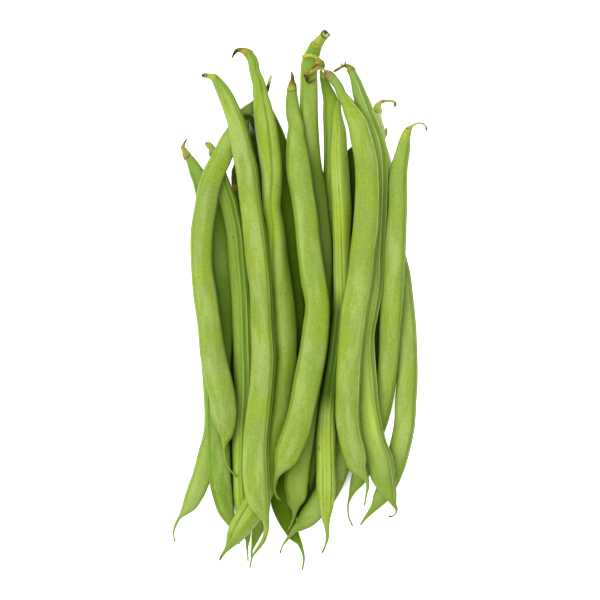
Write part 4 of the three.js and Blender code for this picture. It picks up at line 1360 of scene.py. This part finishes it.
# The stops that deepen each bean's green along its pod are painted shade, where the beans over it shade it.
BUNDLE = (
    Bean(1, Tone.MID, ("879D47", "8CA033", "839A50")),
    Bean(
        2, Tone.OLIVE, ("55740F", "5C7A0C", "527012"),
        skin=dict(
            bloom_shows=0.08, painted_shade_colour="1E3A00",
            painted_shade=((0, 0.1), (0.25, 0.4), (0.45, 0.7), (0.55, 0.95), (0.7, 0.9), (0.85, 0.1)),
        ),
    ),
    # Bean 3's greens are made paler, as painted light against the shade on its tail, and painted shade
    # deepens it from the neck to past its middle.
    Bean(
        3, Tone.OLIVE, ("A4BA60", "A8BE50", "9CB466"),
        skin=dict(painted_shade_colour="3E5A10", painted_shade=((0, 0.9), (0.62, 0.9), (0.8, 0)), neck="3A5012", neck_shows=0.9),
        marks=(Mark(-22.9, 39.8, 0.8, "9A7030", 0.9, 1.7),),
        look=tones((0, "4A4A1C"), (1, "44541A"), (2, "3E5214")),
    ),
    Bean(
        4, Tone.BLUE, ("6B882D", "6F8D1A", "628332"),
        skin=dict(painted_shade=((0, 0.15), (0.25, 0.7), (0.42, 0.85), (0.62, 0.3), (0.8, 0.05))),
        calyx=Calyx(cup=1.2, reach=1.2, thick=0.18, flare=0.1),
        look=tones(
            (0, "5A3A16"), (0.35, "8A6A2A"), (0.6, "8F8E3A"), (1, "8A923A"), (1.6, "8E9240"), (2, "5E4A1C"),
        ),
    ),
    Bean(
        5, Tone.MID, ("678520", "6E8B13", "628326"),
        look=tones((0, "A0985A"), (0.25, "A8A24E"), (0.5, "9AA24A"), (1, "8AA04A"), (2, "7F9A40")),
    ),
    # Bean 6's pale neck, calyx and top of its stalk are partly their own pale green and partly painted
    # light, made paler against the shadow that bean 16 casts on them.
    Bean(
        6, Tone.MID, ("7E963E", "839A2A", "7A9244"),
        skin=dict(neck="C8D890", neck_shows=1.0, neck_span=40.0),
        marks=(Mark(33.6, -27.0, 0.35, "5A5A2A", 0.6),),
        beak_end=(1.0, "6A5A34"),
        calyx=Calyx(cup=1.0, reach=0.8, thick=0.12),
        look=tones(
            (0, "3A2A12"), (0.1, "7A7834"), (0.25, "A8AC56"), (0.5, "A8A84C"), (0.62, "7E6E2C"),
            (0.75, "C0C25C"), (1, "B4C45A"), (1.85, "B0C460"), (2, "7A6E30"), blunt=0.48,
        ),
    ),
    Bean(
        7, Tone.OLIVE, ("799536", "7F992E", "74913E"),
        skin=dict(painted_shade=((0.44, 0), (0.5, 0.7), (0.9, 0.8)), painted_shade_colour="22380A"),
        look=tones((0, "8F8A34"), (1, "8A983A"), (2, "7F9438")),
    ),
    # Beans 8, 9 and 10 lie deep under the others: their very deep greens are painted shade of the heap's
    # depths.
    Bean(
        8, Tone.OLIVE, ("223608", "283C08", "20340A"),
        skin=dict(deep="1A2C04", pale="34480C", bloom_shows=0.0, neck_shows=0.2),
    ),
    Bean(9, Tone.OLIVE, ("4E6828", "546E26", "4C662E")),
    Bean(
        10, Tone.OLIVE, ("2C400A", "32460A", "2A3E0E"),
        skin=dict(deep="22340A", pale="40541A", bloom_shows=0.0, neck_shows=0.2),
        look=tones((0, "8A9A86"), (0.8, "76866A"), (1, "5A6A4A"), (2, "33481C"), blunt=0.3),
    ),
    Bean(
        11, Tone.LIGHT, ("7D9637", "829725", "7B9440"),
        skin=dict(neck="98A83A", neck_span=5.0),
        marks=(
            Mark(29.5, -33.3, 0.4, "5E5A2A", 0.7), Mark(30.5, -36.8, 0.35, "5E5A2A", 0.7),
            Mark(31.5, -20.0, 0.3, "5E5A2A", 0.5),
        ),
        calyx=Calyx(cup=0.7, reach=0.7, thick=0.06, flare=0.02),
        look=tones(
            (0, "2A200E"), (0.07, "4A3E1A"), (0.16, "9FA64E"), (0.7, "A3AA54"), (0.93, "A4A648"),
            (1.1, "A0AC44"), (2, "98A840"), blunt=0.36,
            spots=(Mark(37.6, 60.4, 0.6, "6A5420", 0.8, 0.5), Mark(40.2, 58.6, 0.8, "B4A45A", 0.7, 1.4)),
        ),
    ),
    Bean(
        12, Tone.MID, ("85A236", "8AA626", "7F9E40"),
        skin=dict(
            cord_gap=0.8, cord_shows=0.45,
            painted_shade=((0, 0.6), (0.25, 0.45), (0.4, 0.35), (0.6, 0.5), (0.75, 0)),
        ),
        marks=(Mark(-23.4, 22.3, 0.4, "4A3A1A", 0.85),),
        calyx=Calyx(cup=1.0, reach=0.7, thick=0.06, flare=0.02),
        look=tones(
            (0, "5A5A1E"), (0.2, "94A03C"), (0.6, "8A8A30"), (1, "7E943A"), (2, "4E5E1E"), blunt=1.15,
        ),
    ),
    Bean(
        13, Tone.MID, ("7A9628", "7E981A", "6A872B"),
        skin=dict(
            neck="6E9230",
            painted_shade=((0, 0.1), (0.2, 0.2), (0.28, 0.75), (0.45, 0.8), (0.6, 0.25), (0.8, 0.1)),
        ),
        calyx=Calyx(cup=0.7, reach=1.2, thick=0.08, flare=0.03),
        look=tones(
            (0, "5E5C26"), (0.08, "7A7E3A"), (0.2, "A2AE54"), (0.7, "96A848"), (0.95, "A8A83C"),
            (1.1, "8E8A30"), (1.4, "8C9C34"), (2, "7E9A36"), core="B4BC72", slant=0.9,
            spots=(Mark(9.0, 94.2, 0.6, "120E08", 0.95), Mark(9.3, 91.5, 0.6, "1A140A", 0.95)),
        ),
        shreds=(Shred((8.6, 92.0), (8.0, 89.6), 0.5, "4A3212", 0.6),),
    ),
    # Bean 14's deep green neck is partly its own colour and partly painted shade, and the large near-black
    # green mark on it is painted shadow, where the beans over it shade it. The pale tip of its stalk is
    # partly its own colour and partly painted light, made paler against the shadow that bean 17 casts on it.
    Bean(
        14, Tone.LIGHT, ("799039", "7F9621", "769041"),
        skin=dict(flank_tint_and_shade_shows=0.3, cord_shows=0.45, neck="3E5612", neck_shows=0.95),
        marks=(Mark(-34.2, -13.7, 0.3, "5A5A22", 0.7), Mark(-18.6, 64.4, 2.0, "22340A", 0.85, 0.6)),
        calyx=Calyx(cup=1.2, reach=1.0),
        look=tones(
            (0, "D6DAB0"), (0.2, "C2C892"), (0.36, "6E6E36"), (0.45, "241C0A"), (0.8, "1E180A"),
            (1, "44481A"), (2, "4E5E1E"), blunt=0.58,
        ),
        shreds=(Shred((-11.7, 74.6), (-12.5, 76.6), 0.4, "3A3A16", 0.2),),
    ),
    Bean(
        15, Tone.YELLOW, ("92A841", "96AA36", "8FA54A"),
        skin=dict(
            cord_gap=0.7, cord_shows=0.2, groove_shows=0.1, flute_shows=0.85, shade="587820",
            painted_shade=((0.2, 0), (0.4, 0.2), (0.47, 0.95), (0.64, 0.95), (0.7, 0.3), (0.78, 0)),
            painted_shade_colour="244200", wax=1.12,
        ),
        relief=Relief(cord=0.14, groove=0.04, flute=0.2),
        marks=(Mark(6.7, -51.5, 0.5, "7A7A2A", 0.7, 1.8),),
        beak_end=(2.0, "7A5A34"),
        calyx=Calyx(cup=0.8, reach=0.6),
        look=tones((0, "5A4A1E"), (0.5, "7A7A30"), (1, "7F8634"), (2, "8A9A38")),
    ),
    Bean(
        16, Tone.LIGHT, ("95B046", "98B03E", "90AB4D"),
        skin=dict(
            cord_gap=1.3, cord_shows=0.8, groove_shows=0.5, flute_shows=0.1, cord="B6C084", neck="6C8C3A",
            neck_shows=0.8, neck_span=39.0,
            painted_shade=((0.2, 0), (0.3, 0.4), (0.44, 0.4), (0.52, 0), (0.76, 0), (0.9, 0.4)), shade="5E7A24",
        ),
        relief=Relief(cord=0.18, groove=0.14, flute=0.06),
        beak_end=(1.3, "3E3420"),
        calyx=Calyx(cup=1.0, reach=0.9, thick=0.12, flare=0.06, ragged=0.9),
        look=tones(
            (0, "6A6A20"), (0.15, "4E4814"), (0.5, "7A7A26"), (0.75, "544A10"), (1, "7E7E24"),
            (1.5, "8A902E"), (2, "6A6A20"), blunt=0.4,
        ),
        shreds=(
            Shred((15.6, 82.2), (16.1, 84.2), 0.5, "8A7436", 0.9),
            Shred((15.0, 82.4), (14.4, 83.5), 0.4, "6A5420", 0.7),
            Shred((17.3, 81.7), (18.5, 81.7), 0.45, "6E5A24", 0.4),
        ),
    ),
    Bean(
        17, Tone.YELLOW, ("7F9724", "839913", "7A922B"),
        skin=dict(
            cord_gap=0.6, cord_shows=0.1, groove_shows=0.75, flute_shows=0.0, shade="527210", neck="749230",
            neck_shows=0.75, neck_span=30.0, painted_shade=((0.3, 0), (0.5, 0.2), (0.75, 0.3), (0.9, 0.05)),
        ),
        relief=Relief(cord=0.05, groove=0.18, flute=0.0, seeds=0.12),
        marks=(Mark(-11.5, 57.0, 1.0, "8A9A1C", 0.8, 0.8),),
        beak_end=(1.6, "3A3A1A"),
        calyx=Calyx(cup=1.0, reach=1.0, thick=0.1, flare=0.03),
        look=tones(
            (0, "0A0704"), (0.42, "140E06"), (0.52, "4A4012"), (0.7, "8A8430"), (1, "8A9632"),
            (1.4, "8A8028"), (2, "7E9630"), spots=(Mark(-20.8, 88.3, 0.75, "7A4A16", 0.8),),
        ),
    ),
    Bean(
        18, Tone.LIGHT, ("7B9335", "7E9621", "759041"),
        calyx=Calyx(cup=1.0, reach=1.0, thick=0.14, ragged=0.9),
        look=tones(
            (0, "443208"), (0.2, "78621A"), (0.5, "544410"), (0.8, "7A701E"), (1, "8E9034"),
            (1.6, "92A038"), (2, "666018"),
        ),
        shreds=(
            Shred((-1.9, 76.2), (-1.0, 73.9), 0.5, "5A4414", 0.5),
            Shred((-2.6, 77.4), (-2.0, 79.2), 0.35, "4A3610", 0.5),
        ),
    ),
    Bean(
        19, Tone.LIGHT, ("7A9033", "80961E", "77903B"),
        skin=dict(cord_gap=1.9, cord_shows=1.0, groove_shows=0.2, flute_shows=0.1, cord="BCCA7A"),
        relief=Relief(cord=0.14, groove=0.06, flute=0.05),
        calyx=Calyx(cup=1.0, reach=0.7, thick=0.1, flare=0.03, lobes=3, ragged=0.8),
        look=tones(
            (0, "8A8A36"), (0.35, "8A8238"), (0.7, "8C8440"), (1, "8A903A"), (1.6, "84983A"), (2, "7A9436"),
            spots=(Mark(8.9, 79.3, 0.5, "4A3C18", 0.8, 2.0), Mark(10.0, 79.0, 1.1, "927650", 0.9, 1.35)),
        ),
        shreds=(Shred((10.3, 79.5), (11.0, 77.2), 0.4, "7A5C2C", 0.3),),
    ),
    Bean(
        20, Tone.LIGHT, ("788D37", "7D9320", "758D3F"),
        skin=dict(cord_shows=0.5),
        calyx=Calyx(cup=1.0, reach=1.0, thick=0.08, flare=0.02),
        look=tones(
            (0, "16120A"), (0.2, "2E2810"), (0.34, "96964A"), (0.5, "4A441A"), (0.62, "989A44"),
            (1, "98A23A"), (2, "8A9E3A"), core="3A3414", blunt=0.85,
        ),
    ),
)


# ---- The studio ----


@dataclass
class Studio:
    """Pale floor, soft light and the camera, which looks straight down. Sizes are in metres."""

    view_width: float = 0.21
    focus_height: float = 0.014
    middle: tuple[float, float] = (0.00007, 0.00028)
    lens: float = 600.0
    sensor: float = 36.0
    world: float = 0.34
    key: float = 18.7
    key_place: tuple[float, float, float] = (-0.32, 0.1, 1.0)
    key_size: float = 1.1
    floor_half: float = 6.0
    floor_drop: float = 0.00005
    # Middle and half size of each patch of painted shadow on the floor: deep green, with no glow, where the
    # heap's shade falls.
    painted_shadow_patches: tuple[tuple[float, float, float, float], ...] = (
        (0.0, -0.014, 0.033, 0.055),
        (-0.0248, -0.0605, 0.0036, 0.015),
        (-0.0174, 0.0588, 0.0021, 0.0078),
        (-0.0287, 0.0345, 0.0012, 0.0025),
        (0.0018, -0.0665, 0.0075, 0.0118),
    )
    painted_shadow_edge: tuple[float, float] = (0.85, 1.2)  # where a patch's edge starts and ends, over its size
    glow: float = 0.92

    def build(self) -> None:
        """Adds the floor, the world's light, the key light and the camera to the scene."""
        scene = bpy.context.scene
        scene.view_settings.view_transform = "Standard"
        self.floor()
        self.light(scene)
        distance = self.view_width * self.lens / self.sensor
        data = bpy.data.cameras.new("camera")
        data.lens, data.sensor_width = self.lens, self.sensor
        data.clip_start, data.clip_end = 0.1, 30
        camera = bpy.data.objects.new("camera", data)
        camera.location = (*self.middle, distance + self.focus_height)
        scene.collection.objects.link(camera)
        scene.camera = camera

    def floor(self) -> None:
        """Adds the floor, which is staged and is no part of the bundle."""
        bm = bmesh.new()
        bmesh.ops.create_grid(bm, x_segments=1, y_segments=1, size=self.floor_half)
        bmesh.ops.translate(bm, verts=bm.verts, vec=(0, 0, -self.floor_drop))
        mesh = bpy.data.meshes.new("floor")
        bm.to_mesh(mesh)
        bm.free()
        mesh.materials.append(self.white_card_painted_shadow())
        floor = bpy.data.objects.new("floor", mesh)
        bpy.context.scene.collection.objects.link(floor)

    def white_card_painted_shadow(self) -> bpy.types.Material:
        """Makes a white matt card that is lit from below, with painted shadow under the heap: deep green
        patches there that don't glow.

        Returns:
            The material.
        """
        card = new_material("white_card_painted_shadow")
        tree = card.node_tree
        here = add_node(tree, "ShaderNodeTexCoord").outputs["Object"]
        away: Any = 10.0  # far outside every patch
        for x, y, wide, deep in self.painted_shadow_patches:
            inputs = {"Vector": here, "Location": (x, y, 0), "Scale": (wide, deep, 1)}
            local = add_node(tree, "ShaderNodeMapping", inputs, vector_type="TEXTURE").outputs["Vector"]
            radius = add_node(tree, "ShaderNodeVectorMath", {0: local}, operation="LENGTH")
            inputs = {0: away, 1: radius.outputs["Value"]}
            away = add_node(tree, "ShaderNodeMath", inputs, operation="MINIMUM").outputs["Value"]
        inputs = {"Value": away, "From Min": self.painted_shadow_edge[0], "From Max": self.painted_shadow_edge[1]}
        outside_painted_shadow = add_node(
            tree, "ShaderNodeMapRange", inputs, interpolation_type="SMOOTHSTEP"
        ).outputs["Result"]
        glow = add_node(tree, "ShaderNodeMath", {0: outside_painted_shadow, 1: self.glow}, operation="MULTIPLY")
        inputs = {
            # Deep green of the painted shadow inside the patches, and the card's white outside them.
            "Base Color": layered(tree, "3A4A1C", [Layer(outside_painted_shadow, ((0, 0), (1, 1)), "F4F4F2")]),
            "Roughness": 0.9,
            "Specular IOR Level": 0.1,
            "Emission Color": linear("FFFFFF"),
            "Emission Strength": glow.outputs["Value"],
        }
        shader = add_node(tree, "ShaderNodeBsdfPrincipled", inputs)
        add_node(tree, "ShaderNodeOutputMaterial", {"Surface": shader.outputs["BSDF"]})
        return card

    def light(self, scene: bpy.types.Scene) -> None:
        """Lights the scene.

        Args:
            scene: the scene to light.
        """
        world = bpy.data.worlds.new("studio")
        world.use_nodes = True
        background = world.node_tree.nodes["Background"]
        background.inputs["Color"].default_value = linear("FFFFFF")
        background.inputs["Strength"].default_value = self.world
        scene.world = world
        data = bpy.data.lights.new("key", "AREA")
        data.size = self.key_size
        data.energy = self.key
        key = bpy.data.objects.new("key", data)
        key.location = self.key_place
        scene.collection.objects.link(key)
        key.rotation_mode = "QUATERNION"
        key.rotation_quaternion = key.location.to_track_quat("Z", "Y")


def main() -> None:
    """Builds the bundle and the studio."""
    logging.basicConfig(level=logging.INFO, format="%(name)s: %(message)s")
    Studio().build()
    stem = DryStem().material("dry_stalk")
    made = [piece for bean in BUNDLE for piece in bean.build(stem)]
    made.append(FlowerTwig().build(DryStem(rough=0.78).material("dry_twig")))
    for piece in made:
        LOG.info("%s: %d faces", piece.name, len(piece.data.polygons))


if __name__ == "__main__":
    main()
